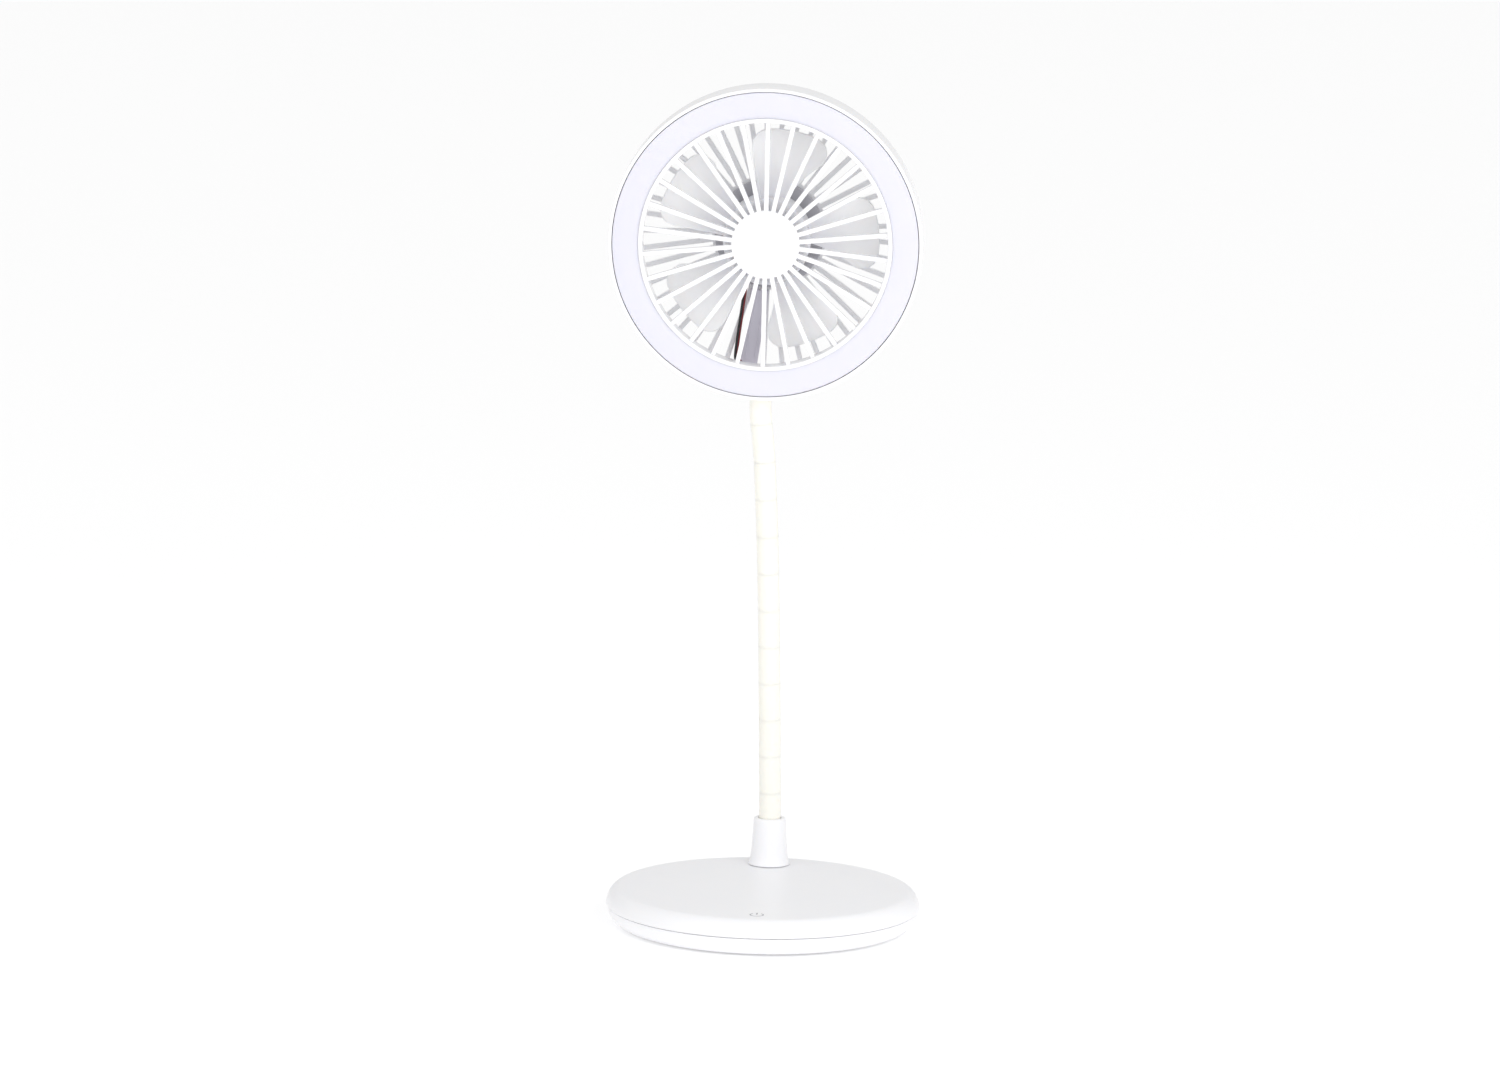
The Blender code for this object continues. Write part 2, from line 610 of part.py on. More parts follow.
def cup_profile(height):
    """The hollow end of a link whose upper joint is at this height."""
    radius = NECK_RADIUS + SOCKET_GAP
    rim_angle = math.degrees(math.acos((NECK_RADIUS - CUP_RIM) / radius))
    points = arc((0.0, height), (radius, radius), -90, -rim_angle, 3)
    points[0] = (0.0, points[0][1])
    points.append((NECK_RADIUS, points[-1][1]))
    return points


def ball_profile():
    """The round end of a link, about its lower joint at height 0."""
    points = arc((0.0, 0.0), (NECK_RADIUS, NECK_RADIUS), 0, -90, 4)
    points[-1] = (0.0, points[-1][1])
    return points


def neck_collar():
    """The tapered collar, with a slight flare where it meets the deck."""
    foot = BASE_HEIGHT + SEAT_GAP
    top_radius = NECK_RADIUS + COLLAR_WALL
    foot_radius = top_radius + COLLAR_TAPER
    corner = (top_radius - COLLAR_EDGE, COLLAR_TOP - COLLAR_EDGE)
    profile = arc(corner, (COLLAR_EDGE, COLLAR_EDGE), 90, 0, 3)
    profile += [
        (foot_radius - COLLAR_TAPER * 0.4, foot + COLLAR_HEIGHT * 0.28),
        (foot_radius - COLLAR_TAPER * 0.2, foot + COLLAR_HEIGHT * 0.1),
        (foot_radius, foot),
        (NECK_BORE, foot),
        (NECK_BORE, COLLAR_TOP),
    ]
    collar = lathe("neck_collar", profile, WHITE_ABS, steps=SMALL_STEPS)
    collar.location = (*NECK_PLACE, 0.0)


def neck_fixing():
    """The lower ferrule, and the washer and nut that hold it inside the base."""
    ferrule_end = BASE_HEIGHT - FERRULE_DROP
    profile = cup_profile(FIRST_JOINT) + [(NECK_RADIUS, ferrule_end), (0.0, ferrule_end)]
    ferrule = lathe("neck_lower_ferrule", profile, STEEL, steps=NECK_SIDES)
    ferrule.location = (*NECK_PLACE, 0.0)

    washer_top = CEILING - SEAT_GAP
    washer_bottom = washer_top - WASHER_THICKNESS
    washer_ring = ring(NECK_BORE, NECK_RADIUS + WASHER_WIDTH, washer_top, washer_bottom)
    washer = lathe("neck_washer", washer_ring, STEEL, steps=SMALL_STEPS)
    washer.location = (*NECK_PLACE, 0.0)
    nut_top = washer_bottom - SEAT_GAP
    nut = lathe(
        "neck_hex_nut",
        ring(NECK_BORE / math.cos(math.pi / 6), NECK_RADIUS + NUT_WALL, nut_top, nut_top - NUT_HEIGHT),
        STEEL,
        steps=6,
    )
    nut.location = (*NECK_PLACE, 0.0)


def neck_links():
    """The chain of ball-ended links that stands for the bending gooseneck."""
    joints = [neck_point(i / (NECK_JOINTS - 1)) for i in range(NECK_JOINTS)]
    for i, (lower, upper) in enumerate(zip(joints, joints[1:]), start=1):
        along = upper - lower
        link = lathe(
            f"neck_link_{i:02d}",
            cup_profile(along.length) + ball_profile(),
            SLEEVE,
            steps=NECK_SIDES,
        )
        link.location = lower
        link.rotation_mode = "QUATERNION"
        link.rotation_quaternion = along.to_track_quat("Z", "Y")
    return joints[-1]


# ------------------------------------------------------------------------- head

def make_head_frame(last_joint):
    """An empty on the last joint of the neck, and the head's own frame above it."""
    pivot = bpy.data.objects.new("head_joint", None)
    PARTS.objects.link(pivot)
    pivot.location = last_joint
    pivot.rotation_euler = (math.pi / 2, HEAD_ROLL, 0.0)
    frame = bpy.data.objects.new("head_frame", None)
    PARTS.objects.link(frame)
    frame.parent = pivot
    frame.location = (0.0, STEM_LENGTH, STEM_DEPTH)
    return frame


def front_housing(head):
    """The rim, the trough of the ring light, the duct wall and the screw bosses."""
    rim_inner = HEAD_RADIUS - RIM_WALL
    wall_inner = HEAD_RADIUS - HOUSING_WALL
    duct_outer = TROUGH_INNER_RADIUS + DUCT_WALL
    duct_end = -HOUSING_DEPTH + DUCT_WALL_SHORT
    shelf = -DIFFUSER_THICKNESS - SEAT_GAP
    profile = [
        (rim_inner + RIM_WALL / 3, RIM_PROUD),
        (HEAD_RADIUS - RIM_WALL / 4, RIM_PROUD * 0.8),
        (HEAD_RADIUS, -RIM_PROUD / 2),
        (HEAD_RADIUS, -HOUSING_DEPTH),
        (wall_inner, -HOUSING_DEPTH),
        (wall_inner, -FLOOR_BACK),
        (duct_outer, -FLOOR_BACK),
        (duct_outer, duct_end),
        (TROUGH_INNER_RADIUS, duct_end),
        (TROUGH_INNER_RADIUS, shelf),
        (duct_outer, shelf),
        (duct_outer, -TROUGH_DEPTH),
        (rim_inner, -TROUGH_DEPTH),
        (rim_inner, RIM_PROUD / 2),
    ]
    housing = lathe("front_housing", profile, WHITE_ABS, head)
    places = housing_screw_places()
    boss_root = -FLOOR_BACK + TROUGH_FLOOR / 3
    bosses = posts("housing_bosses", places, HOUSING_BOSS_RADIUS, boss_root, -HOUSING_DEPTH, parent=head)
    join(housing, bosses)
    pilot_radius = HOUSING_SCREW[2] + SLIP_GAP
    pilot_top = -HOUSING_DEPTH + HOUSING_SCREW[3]
    cut(housing, posts("housing_pilots", places, pilot_radius, pilot_top, -BOWL_REAR, parent=head))
    hole = lathe("stem_hole", disc(NECK_BORE, 0.0, -2 * STEM_INSERT), None, head, SMALL_STEPS)
    hole.location = (0.0, STEM_INSERT / 2 - HEAD_RADIUS, -STEM_DEPTH)
    hole.rotation_euler = (-math.pi / 2, 0.0, 0.0)
    cut(housing, hole)
    pilot_radius = CLAMP_SCREW[2] + SLIP_GAP
    pilot_top = -FLOOR_BACK + TROUGH_FLOOR * 2 / 3
    clamp_places = clamp_screw_places()
    cut(housing, posts("clamp_pilots", clamp_places, pilot_radius, pilot_top, -HOUSING_DEPTH, parent=head))


def housing_screw_places():
    """The housing screws, each in line with a gap between two rear ribs."""
    pitch = math.tau / RIB_COUNT
    places = []
    for i in range(HOUSING_SCREW_COUNT):
        wanted = math.tau * (i + 0.5) / HOUSING_SCREW_COUNT
        gap = round((wanted - RIB_PHASE) / pitch - 0.5) + 0.5
        places += on_circle(HOUSING_SCREW_CIRCLE, 1, gap * pitch + RIB_PHASE)
    return places


def light_diffuser(head):
    """The crowned milky ring over the light, with a skirt inside the rim."""
    middle = (LIGHT_OUTER_RADIUS + LIGHT_INNER_RADIUS) / 2
    skirt_radius = LIGHT_OUTER_RADIUS - DIFFUSER_SKIRT
    skirt_end = -DIFFUSER_THICKNESS - DIFFUSER_SKIRT_DROP
    profile = [
        (LIGHT_INNER_RADIUS, -DIFFUSER_EDGE),
        (LIGHT_INNER_RADIUS + DIFFUSER_EDGE, 0.0),
        (middle, DIFFUSER_CROWN),
        (LIGHT_OUTER_RADIUS - DIFFUSER_EDGE, 0.0),
        (LIGHT_OUTER_RADIUS, -DIFFUSER_EDGE),
        (LIGHT_OUTER_RADIUS, skirt_end),
        (skirt_radius, skirt_end),
        (skirt_radius, -DIFFUSER_THICKNESS),
        (LIGHT_INNER_RADIUS, -DIFFUSER_THICKNESS),
    ]
    lathe("light_diffuser", profile, MILKY_DIFFUSER, head)


def led_board(head):
    """The ring board on the trough's floor, with its lights."""
    bottom = -TROUGH_DEPTH + SEAT_GAP
    top = bottom + LED_BOARD_THICKNESS
    inner = TROUGH_INNER_RADIUS + DUCT_WALL + HOLE_GAP
    outer = LIGHT_OUTER_RADIUS - DIFFUSER_SKIRT - HOLE_GAP
    board = lathe("led_board", ring(inner, outer, top, bottom), WHITE_BOARD, head)
    centre = ((inner + outer) / 2, 0.0, top + LED_SIZE[2] / 2 - LED_SINK)
    bm = bmesh.new()
    for i in range(LED_COUNT):
        add_box(bm, LED_SIZE, centre, turn=math.tau * i / LED_COUNT)
    join(board, add_object("leds", mesh_from("leds", bm), parent=head, smooth=False))


def front_grille(head):
    """The raised ring, the plain hub and the straight spokes between them."""
    edge = GRILLE_RING_WIDTH / 3
    profile = [
        (OPENING_RADIUS + edge, GRILLE_RING_PROUD),
        (GRILLE_RADIUS - edge, GRILLE_RING_PROUD),
        (GRILLE_RADIUS, GRILLE_RING_PROUD - edge),
        (GRILLE_RADIUS, -GRILLE_RING_DEPTH),
        (OPENING_RADIUS, -GRILLE_RING_DEPTH),
        (OPENING_RADIUS, GRILLE_RING_PROUD - edge),
    ]
    half_facet = math.pi / GRILLE_STEPS
    phase = half_facet + SPOKE_PHASE
    grille = lathe("front_grille", profile, WHITE_ABS, head, GRILLE_STEPS, phase)
    spokes_back = -SPOKE_FRONT - SPOKE_THICKNESS
    hub_back = spokes_back + HUB_BACK_INSET
    hub_front = -SPOKE_FRONT + HUB_LIFT
    hub_profile = [
        (0.0, hub_front + HUB_CROWN),
        (HUB_RADIUS * 0.6, hub_front + 0.7 * HUB_CROWN),
        (HUB_RADIUS - HUB_CROWN, hub_front),
        (HUB_RADIUS, hub_front - HUB_CROWN),
        (HUB_RADIUS, hub_back),
        (0.0, hub_back),
    ]
    join(grille, lathe("grille_hub", hub_profile, None, head, SPOKE_COUNT, phase))
    inner_end = HUB_RADIUS - HUB_OVERLAP
    outer_end = OPENING_RADIUS + GRILLE_RING_WIDTH / 2
    size = (outer_end - inner_end, SPOKE_WIDTH, SPOKE_THICKNESS)
    centre = ((outer_end + inner_end) / 2, 0.0, (spokes_back - SPOKE_FRONT) / 2)
    bm = bmesh.new()
    for i in range(SPOKE_COUNT):
        add_box(bm, size, centre, turn=math.pi / 2 + SPOKE_PHASE + math.tau * i / SPOKE_COUNT)
    join(grille, add_object("spokes", mesh_from("spokes", bm), parent=head, smooth=False))


def rear_grille(head):
    """The slotted bowl behind the fan: ribs from its flange round to the rear hub."""
    corner_centre = (BOWL_FLAT_RADIUS, BOWL_CORNER_DEPTH - BOWL_REAR)
    inner = (BOWL_CORNER - BOWL_WALL, BOWL_CORNER_DEPTH - BOWL_WALL)
    flange_back = -BOWL_FRONT - FLANGE_THICKNESS
    flange_inner_radius = FLANGE_RADIUS - FLANGE_WIDTH
    profile = [(0.0, -BOWL_INSIDE)]
    profile += arc(corner_centre, inner, -90, 0, 2)
    profile += [
        (BOWL_RADIUS - BOWL_WALL, flange_back),
        (flange_inner_radius, flange_back),
        (flange_inner_radius, -BOWL_FRONT),
        (FLANGE_RADIUS, -BOWL_FRONT),
        (FLANGE_RADIUS, flange_back),
        (BOWL_RADIUS, flange_back),
    ]
    profile += arc(corner_centre, (BOWL_CORNER, BOWL_CORNER_DEPTH), 0, -90, 3)
    profile += [(0.0, -BOWL_REAR)]
    half_pitch = math.pi / RIB_COUNT
    bowl = lathe("rear_grille", profile, WHITE_ABS, head, RIB_COUNT, RIB_PHASE - half_pitch)
    cut(bowl, rib_slots(head, flange_back - RIB_ROOT))
    flange_hole = HOUSING_SCREW[2] + HOLE_GAP
    flange_end = flange_back - SEAT_GAP
    cut(bowl, posts("flange_holes", housing_screw_places(), flange_hole, 0.0, flange_end, parent=head))
    hub_hole = MOUNT_SCREW[2] + HOLE_GAP
    hub_end = -BOWL_REAR - SEAT_GAP
    cut(bowl, posts("hub_holes", mount_screw_places(), hub_hole, -MOUNT_FRONT, hub_end, parent=head))


def rib_slots(head, top):
    """One cutter of tapered prisms, which leaves ribs of even width between them."""
    bm = bmesh.new()
    pitch = math.tau / RIB_COUNT
    reach = (REAR_HUB_RADIUS, BOWL_RADIUS + BOWL_WALL)
    bottom = -BOWL_REAR - BOWL_WALL
    for i in range(RIB_COUNT):
        corners = []
        for side, radii in ((0, reach), (1, reach[::-1])):
            angle = RIB_PHASE + pitch * (i + side)
            along = Vector((math.cos(angle), math.sin(angle)))
            aside = Vector((-along.y, along.x)) * (RIB_WIDTH / 2) * (1 - 2 * side)
            corners += [along * radius + aside for radius in radii]
        lower = [bm.verts.new((corner.x, corner.y, bottom)) for corner in corners]
        face = bm.faces.new(lower)
        risen = bmesh.ops.extrude_face_region(bm, geom=[face])["geom"]
        lift = [item for item in risen if isinstance(item, bmesh.types.BMVert)]
        bmesh.ops.translate(bm, verts=lift, vec=(0.0, 0.0, top - bottom))
    return add_object("rib_slots", mesh_from("rib_slots", bm), parent=head, smooth=False)


def mount_screw_places():
    """The three screws of the motor mount."""
    return on_circle(MOUNT_SCREW_CIRCLE, MOUNT_SCREW_COUNT, math.pi / 2)


def wire_duct(head):
    """The channel that covers the wires' way over the ribs, open towards them."""
    back = -BOWL_INSIDE + SEAT_GAP
    length = BOWL_FLAT_RADIUS - REAR_HUB_RADIUS
    middle = (0.0, REAR_HUB_RADIUS + length / 2, back + DUCT_HEIGHT / 2)
    bm = bmesh.new()
    add_box(bm, (DUCT_WIDTH, length, DUCT_HEIGHT), middle, turn=-DUCT_ANGLE)
    duct = add_object("wire_duct", mesh_from("wire_duct", bm), WHITE_ABS, head, smooth=False)
    groove = (DUCT_WIDTH - 2 * DUCT_SKIN, 2 * length, DUCT_HEIGHT)
    bm = bmesh.new()
    add_box(bm, groove, (0.0, middle[1], middle[2] - DUCT_SKIN), turn=-DUCT_ANGLE)
    cut(duct, add_object("duct_groove", mesh_from("duct_groove", bm), parent=head, smooth=False))


# ------------------------------------------------------------------------ motor

def motor_mount(head):
    """The disc and cup that hold the motor on the rear hub."""
    cup_inner = MOTOR_RADIUS + SEAT_GAP
    cup_end = -MOUNT_FRONT + MOUNT_CUP_HEIGHT
    profile = [
        (0.0, -MOUNT_FRONT),
        (cup_inner, -MOUNT_FRONT),
        (cup_inner, cup_end),
        (MOUNT_CUP_RADIUS, cup_end),
        (MOUNT_CUP_RADIUS, -MOUNT_FRONT),
        (MOUNT_RADIUS, -MOUNT_FRONT),
        (MOUNT_RADIUS, -MOUNT_BACK),
        (0.0, -MOUNT_BACK),
    ]
    mount = lathe("motor_mount", profile, GREY_MOUNT, head, SMALL_STEPS)
    places = mount_screw_places()
    boss_top = -MOUNT_FRONT + MOUNT_BOSS_HEIGHT
    boss_root = -MOUNT_FRONT - MOUNT_BOSS_SINK
    join(mount, posts("mount_bosses", places, MOUNT_BOSS_RADIUS, boss_top, boss_root, parent=head))
    pilot_top = boss_top + SEAT_GAP
    pilot_radius = MOUNT_SCREW[2] + SLIP_GAP
    cut(mount, posts("mount_pilots", places, pilot_radius, pilot_top, -BOWL_REAR, parent=head))


def motor(head):
    """The can, the end cap, the ring magnet and the two bushes."""
    bush_hole = BUSH_RADIUS + SLIP_GAP
    can_inner = MOTOR_RADIUS - MOTOR_SKIN
    face_back = -MOTOR_FRONT - MOTOR_FACE
    profile = [
        (MOTOR_RADIUS - MOTOR_EDGE, -MOTOR_FRONT),
        (MOTOR_RADIUS, -MOTOR_FRONT - MOTOR_EDGE),
        (MOTOR_RADIUS, -MOTOR_BACK),
        (can_inner, -MOTOR_BACK),
        (can_inner, face_back),
        (bush_hole, face_back),
        (bush_hole, -MOTOR_FRONT),
    ]
    lathe("motor_can", profile, STEEL, head, SMALL_STEPS)
    cap_radius = can_inner - SLIP_GAP
    cap = ring(bush_hole, cap_radius, -MOTOR_BACK + END_CAP_THICKNESS, -MOTOR_BACK)
    lathe("motor_end_cap", cap, BLACK_MOULDING, head, SMALL_STEPS)
    middle = armature_middle()
    half = ARMATURE_LENGTH / 2 + MAGNET_OVERHANG
    magnet = ring(magnet_bore(), cap_radius, middle + half, middle - half)
    lathe("motor_magnet", magnet, DARK_IRON, head, SMALL_STEPS)
    bush_inner = SHAFT_RADIUS + SLIP_GAP
    front_top = -MOTOR_FRONT + BUSH_PROUD
    front_bush = ring(bush_inner, BUSH_RADIUS, front_top, front_top - BUSH_LENGTH)
    lathe("motor_front_bushing", front_bush, BRONZE, head, SMALL_STEPS)
    rear_bush = ring(bush_inner, BUSH_RADIUS, -MOTOR_BACK + BUSH_LENGTH, -MOTOR_BACK)
    lathe("motor_rear_bushing", rear_bush, BRONZE, head, SMALL_STEPS)


def armature_middle():
    """Local height of the armature's middle, halfway between the can's face and the end cap."""
    return (END_CAP_THICKNESS - MOTOR_BACK - MOTOR_FRONT - MOTOR_FACE) / 2


def magnet_bore():
    """Radius of the hole in the ring magnet."""
    return MOTOR_RADIUS - MOTOR_SKIN - SLIP_GAP - MAGNET_THICKNESS


def motor_shaft(head):
    """The shaft from the impeller's boss to the rear bush."""
    front = -ROTOR_HUB_FRONT - ROTOR_HUB_WALL - SHAFT_END_GAP
    shaft = disc(SHAFT_RADIUS, front, -MOTOR_BACK + SHAFT_END_GAP)
    lathe("motor_shaft", shaft, STEEL, head, SCREW_STEPS)


def motor_armature(head):
    """The wound core on the shaft, inside the ring magnet."""
    radius = magnet_bore() - AIR_GAP
    end_radius = radius - ARMATURE_TAPER
    bore = SHAFT_RADIUS + SLIP_GAP
    middle = armature_middle()
    half = ARMATURE_LENGTH / 2
    end = half + ARMATURE_TAPER
    profile = [
        (end_radius, middle + end),
        (radius, middle + half),
        (radius, middle - half),
        (end_radius, middle - end),
        (bore, middle - end),
        (bore, middle + end),
    ]
    lathe("motor_armature", profile, DARK_IRON, head, SCREW_STEPS)


def impeller(head):
    """The hub that is pressed on the shaft, and its five blades."""
    hub_inner = ROTOR_HUB_RADIUS - ROTOR_HUB_WALL
    face_back = -ROTOR_HUB_FRONT - ROTOR_HUB_WALL
    boss_end = face_back - ROTOR_BOSS_LENGTH
    bore = SHAFT_RADIUS + SLIP_GAP
    bore_front = face_back - SLIP_GAP
    profile = [
        (0.0, -ROTOR_HUB_FRONT),
        (ROTOR_HUB_RADIUS - ROTOR_HUB_EDGE, -ROTOR_HUB_FRONT),
        (ROTOR_HUB_RADIUS - ROTOR_HUB_EDGE / 4, -ROTOR_HUB_FRONT - ROTOR_HUB_EDGE / 4),
        (ROTOR_HUB_RADIUS, -ROTOR_HUB_FRONT - ROTOR_HUB_EDGE),
        (ROTOR_HUB_RADIUS, -ROTOR_HUB_REAR),
        (hub_inner, -ROTOR_HUB_REAR),
        (hub_inner, face_back),
        (ROTOR_BOSS_RADIUS, face_back),
        (ROTOR_BOSS_RADIUS, boss_end),
        (bore, boss_end),
        (bore, bore_front),
        (0.0, bore_front),
    ]
    hub = lathe("impeller", profile, MILKY_IMPELLER, head, SMALL_STEPS)
    for i in range(BLADE_COUNT):
        join(hub, blade(f"blade_{i + 1}", BLADE_START + math.tau * i / BLADE_COUNT, head))


def blade(name, start, head):
    """One pitched blade: a thickened sheet whose outline narrows towards the hub."""
    columns = 7
    rows = 4
    bm = bmesh.new()
    bmesh.ops.create_grid(bm, x_segments=columns, y_segments=rows, size=0.5)
    root = ROTOR_HUB_RADIUS - ROTOR_HUB_WALL / 2
    corner_share = BLADE_CORNER / (IMPELLER_RADIUS * BLADE_TIP_SPAN)
    middle = -(BLADE_FRONT + BLADE_REAR) / 2
    rise = BLADE_REAR - BLADE_FRONT - BLADE_THICKNESS
    for vertex in bm.verts:
        across = vertex.co.x + 0.5
        outward = vertex.co.y + 0.5
        edge = min(across, 1.0 - across)
        missing = max(0.0, 1.0 - edge / corner_share)
        tip = IMPELLER_RADIUS - BLADE_CORNER * (1.0 - math.sqrt(1.0 - missing * missing))
        radius = root + (tip - root) * outward
        span = BLADE_ROOT_SPAN + (BLADE_TIP_SPAN - BLADE_ROOT_SPAN) * outward
        x, y = clockwise(radius, start + span * across)
        sweep = across + BLADE_CAMBER * math.sin(math.pi * across)
        height = middle + (0.5 - sweep) * rise * (1.0 - BLADE_WASHOUT * outward)
        vertex.co = (x, y, height)
    obj = add_object(name, mesh_from(name, bm), parent=head)
    solidify = obj.modifiers.new("thickness", "SOLIDIFY")
    solidify.thickness = BLADE_THICKNESS
    solidify.offset = 0.0
    return obj


def motor_leads(head):
    """Two leads from the motor mount, beside the duct, to the end of the neck."""
    deep = -MOTOR_BACK + LEAD_LIFT
    exit_radius = MOUNT_CUP_RADIUS + LEAD_RADIUS + SEAT_GAP + LEAD_SHIFT[0]
    exit_x, exit_y = clockwise(exit_radius, LEAD_EXIT)
    stem = HEAD_RADIUS - STEM_INSERT
    low = stem - LEAD_TURN
    neck_front = -HOUSING_DEPTH + DUCT_WALL_SHORT
    beside_neck = -stem + LEAD_RADIUS * 2
    route = [
        (exit_x, exit_y, deep),
        ((exit_x - LEAD_ASIDE) / 2, (exit_y - low) / 2, deep),
        (-LEAD_ASIDE, -low, deep),
        (-LEAD_ASIDE * 0.9, -stem + LEAD_CORNER, deep + LEAD_CORNER * 1.25),
        (-LEAD_ASIDE * 0.64, -stem + LEAD_CORNER / 2, deep + LEAD_CORNER * 3),
        (-NECK_RADIUS, beside_neck, neck_front - LEAD_CORNER * 1.25),
        (-NECK_RADIUS / 2, beside_neck, neck_front - LEAD_RADIUS),
    ]
    for name, material, shift in (("black", BLACK_WIRE, (0.0, 0.0, 0.0)), ("red", RED_WIRE, LEAD_SHIFT)):
        points = [Vector(place) + Vector(shift) for place in route]
        tube(f"motor_lead_{name}", smooth_path(points, 4), LEAD_RADIUS, material, head)


def smooth_path(points, steps):
    """Points of a smooth curve through the given ones, by Catmull and Rom's rule."""
    path = []
    padded = [points[0] * 2 - points[1], *points, points[-1] * 2 - points[-2]]
    for a, b, c, d in zip(padded, padded[1:], padded[2:], padded[3:]):
        for i in range(steps):
            t = i / steps
            square = (2 * a - 5 * b + 4 * c - d) * t**2
            cube = (3 * b - a - 3 * c + d) * t**3
            path.append((2 * b + (c - a) * t + square + cube) / 2)
    return path + [points[-1]]


def tube(name, path, radius, material, parent):
    """A round wire along a path, as a bevelled poly curve with filled caps."""
    curve = bpy.data.curves.new(name, "CURVE")
    curve.dimensions = "3D"
    curve.bevel_depth = radius
    curve.bevel_resolution = 1
    curve.use_fill_caps = True
    spline = curve.splines.new("POLY")
    spline.points.add(len(path) - 1)
    for point, place in zip(spline.points, path):
        point.co = (*place, 1.0)
    curve.materials.append(material)
    obj = bpy.data.objects.new(name, curve)
    PARTS.objects.link(obj)
    obj.parent = parent
    return obj


# --------------------------------------------------------- the neck's end in the head

def clamp_screw_places():
    """The two screws beside the upper ferrule."""
    aside = NECK_BORE + CLAMP_SCREW[2] + CLAMP_WEB
    height = -HEAD_RADIUS + HOUSING_WALL + CLAMP_SCREW_RISE
    return [(-aside, height), (aside, height)]


def neck_end(head):
    """The upper ferrule with its ball end."""
    insert = STEM_REACH + STEM_INSERT
    profile = [(0.0, insert), (NECK_RADIUS, insert)] + ball_profile()
    ferrule = lathe("neck_upper_ferrule", profile, STEEL, head, NECK_SIDES)
    ferrule.location = (0.0, -STEM_LENGTH, -STEM_DEPTH)
    ferrule.rotation_euler = (-math.pi / 2, 0.0, 0.0)


def neck_clamp(head):
    """The saddle that holds the upper ferrule in the housing, and its two screws."""
    places = clamp_screw_places()
    low = -HEAD_RADIUS + HOUSING_WALL + CLAMP_LOW
    high = -HEAD_RADIUS + STEM_INSERT + CLAMP_OVERHANG
    half_width = places[1][0] + CLAMP_SCREW[0] + HOLE_GAP + CLAMP_SIDE
    size = (2 * half_width, high - low, CLAMP_BACK - CLAMP_FRONT)
    middle = (0.0, (high + low) / 2, -(CLAMP_FRONT + CLAMP_BACK) / 2)
    clamp = box("neck_clamp", size, middle, WHITE_ABS, head)
    bore = lathe("clamp_bore", disc(NECK_BORE, size[1], -size[1]), None, head, NECK_SIDES)
    bore.location = (0.0, middle[1], -STEM_DEPTH)
    bore.rotation_euler = (-math.pi / 2, 0.0, 0.0)
    cut(clamp, bore)
    past_back = -CLAMP_BACK - SEAT_GAP
    cut(clamp, posts("clamp_holes", places, CLAMP_SCREW[2] + SLIP_GAP, 0.0, past_back, parent=head))
    seat = -CLAMP_BACK + CLAMP_SCREW[1] + HOLE_GAP
    cut(clamp, posts("clamp_wells", places, CLAMP_SCREW[0] + HOLE_GAP, seat, past_back, parent=head))
    screws("neck_clamp_screw", places, seat - SLIP_GAP, CLAMP_SCREW, head)


# ---------------------------------------------------------------------- assembly

def build():
    """Makes every piece of the fan."""
    base_top_shell()
    base_bottom_shell()
    base_contents()
    neck_collar()
    neck_fixing()
    head = make_head_frame(neck_links())
    front_housing(head)
    light_diffuser(head)
    led_board(head)
    front_grille(head)
    rear_grille(head)
    wire_duct(head)
    motor_mount(head)
    motor(head)
    motor_shaft(head)
    motor_armature(head)
    impeller(head)
    motor_leads(head)
    neck_end(head)
    neck_clamp(head)
    flange_seat = -BOWL_FRONT - FLANGE_THICKNESS - SLIP_GAP
    screws("housing_screw", housing_screw_places(), flange_seat, HOUSING_SCREW, head)
    screws("motor_mount_screw", mount_screw_places(), -BOWL_REAR - SLIP_GAP, MOUNT_SCREW, head)


build()
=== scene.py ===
"""Finish of the desk fan with a ring light on a gooseneck.

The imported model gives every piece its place. Each class below is one sub-assembly: it
holds its sizes, shapes its pieces and dresses them. The head's pieces are shaped in a
frame of their own, with the origin on the fan's axis at the front plane, local +Z
pointing out of the front and local +Y up, and are then set into the world.
"""

from __future__ import annotations

import json
import logging
import math
from dataclasses import dataclass, field
from enum import Enum
from functools import cache
from typing import Callable, Iterable, Mapping, Sequence, Union

import bmesh
import bpy
import numpy as np
from mathutils import Matrix, Vector


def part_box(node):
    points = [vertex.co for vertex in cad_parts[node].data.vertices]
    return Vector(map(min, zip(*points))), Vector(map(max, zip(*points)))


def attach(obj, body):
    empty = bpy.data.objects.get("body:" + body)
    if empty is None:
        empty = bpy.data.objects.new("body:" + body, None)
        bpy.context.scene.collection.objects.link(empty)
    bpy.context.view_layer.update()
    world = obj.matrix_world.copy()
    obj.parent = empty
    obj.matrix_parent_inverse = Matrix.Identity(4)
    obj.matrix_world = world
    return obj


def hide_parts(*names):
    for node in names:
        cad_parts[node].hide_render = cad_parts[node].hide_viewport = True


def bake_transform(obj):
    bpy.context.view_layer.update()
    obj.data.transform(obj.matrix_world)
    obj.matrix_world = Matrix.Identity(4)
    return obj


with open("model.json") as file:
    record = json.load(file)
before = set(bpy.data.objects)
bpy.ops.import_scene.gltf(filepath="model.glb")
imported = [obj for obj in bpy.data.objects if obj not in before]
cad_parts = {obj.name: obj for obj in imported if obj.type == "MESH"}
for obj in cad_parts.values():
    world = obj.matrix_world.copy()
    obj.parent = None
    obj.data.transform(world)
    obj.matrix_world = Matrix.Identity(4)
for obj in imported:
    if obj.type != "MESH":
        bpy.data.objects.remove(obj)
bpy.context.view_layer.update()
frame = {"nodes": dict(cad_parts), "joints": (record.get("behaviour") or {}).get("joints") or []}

LOG = logging.getLogger("desk_fan")
MM = 0.001
UPRIGHT = Matrix.Identity(4)
SMOOTH_BELOW = math.radians(35)
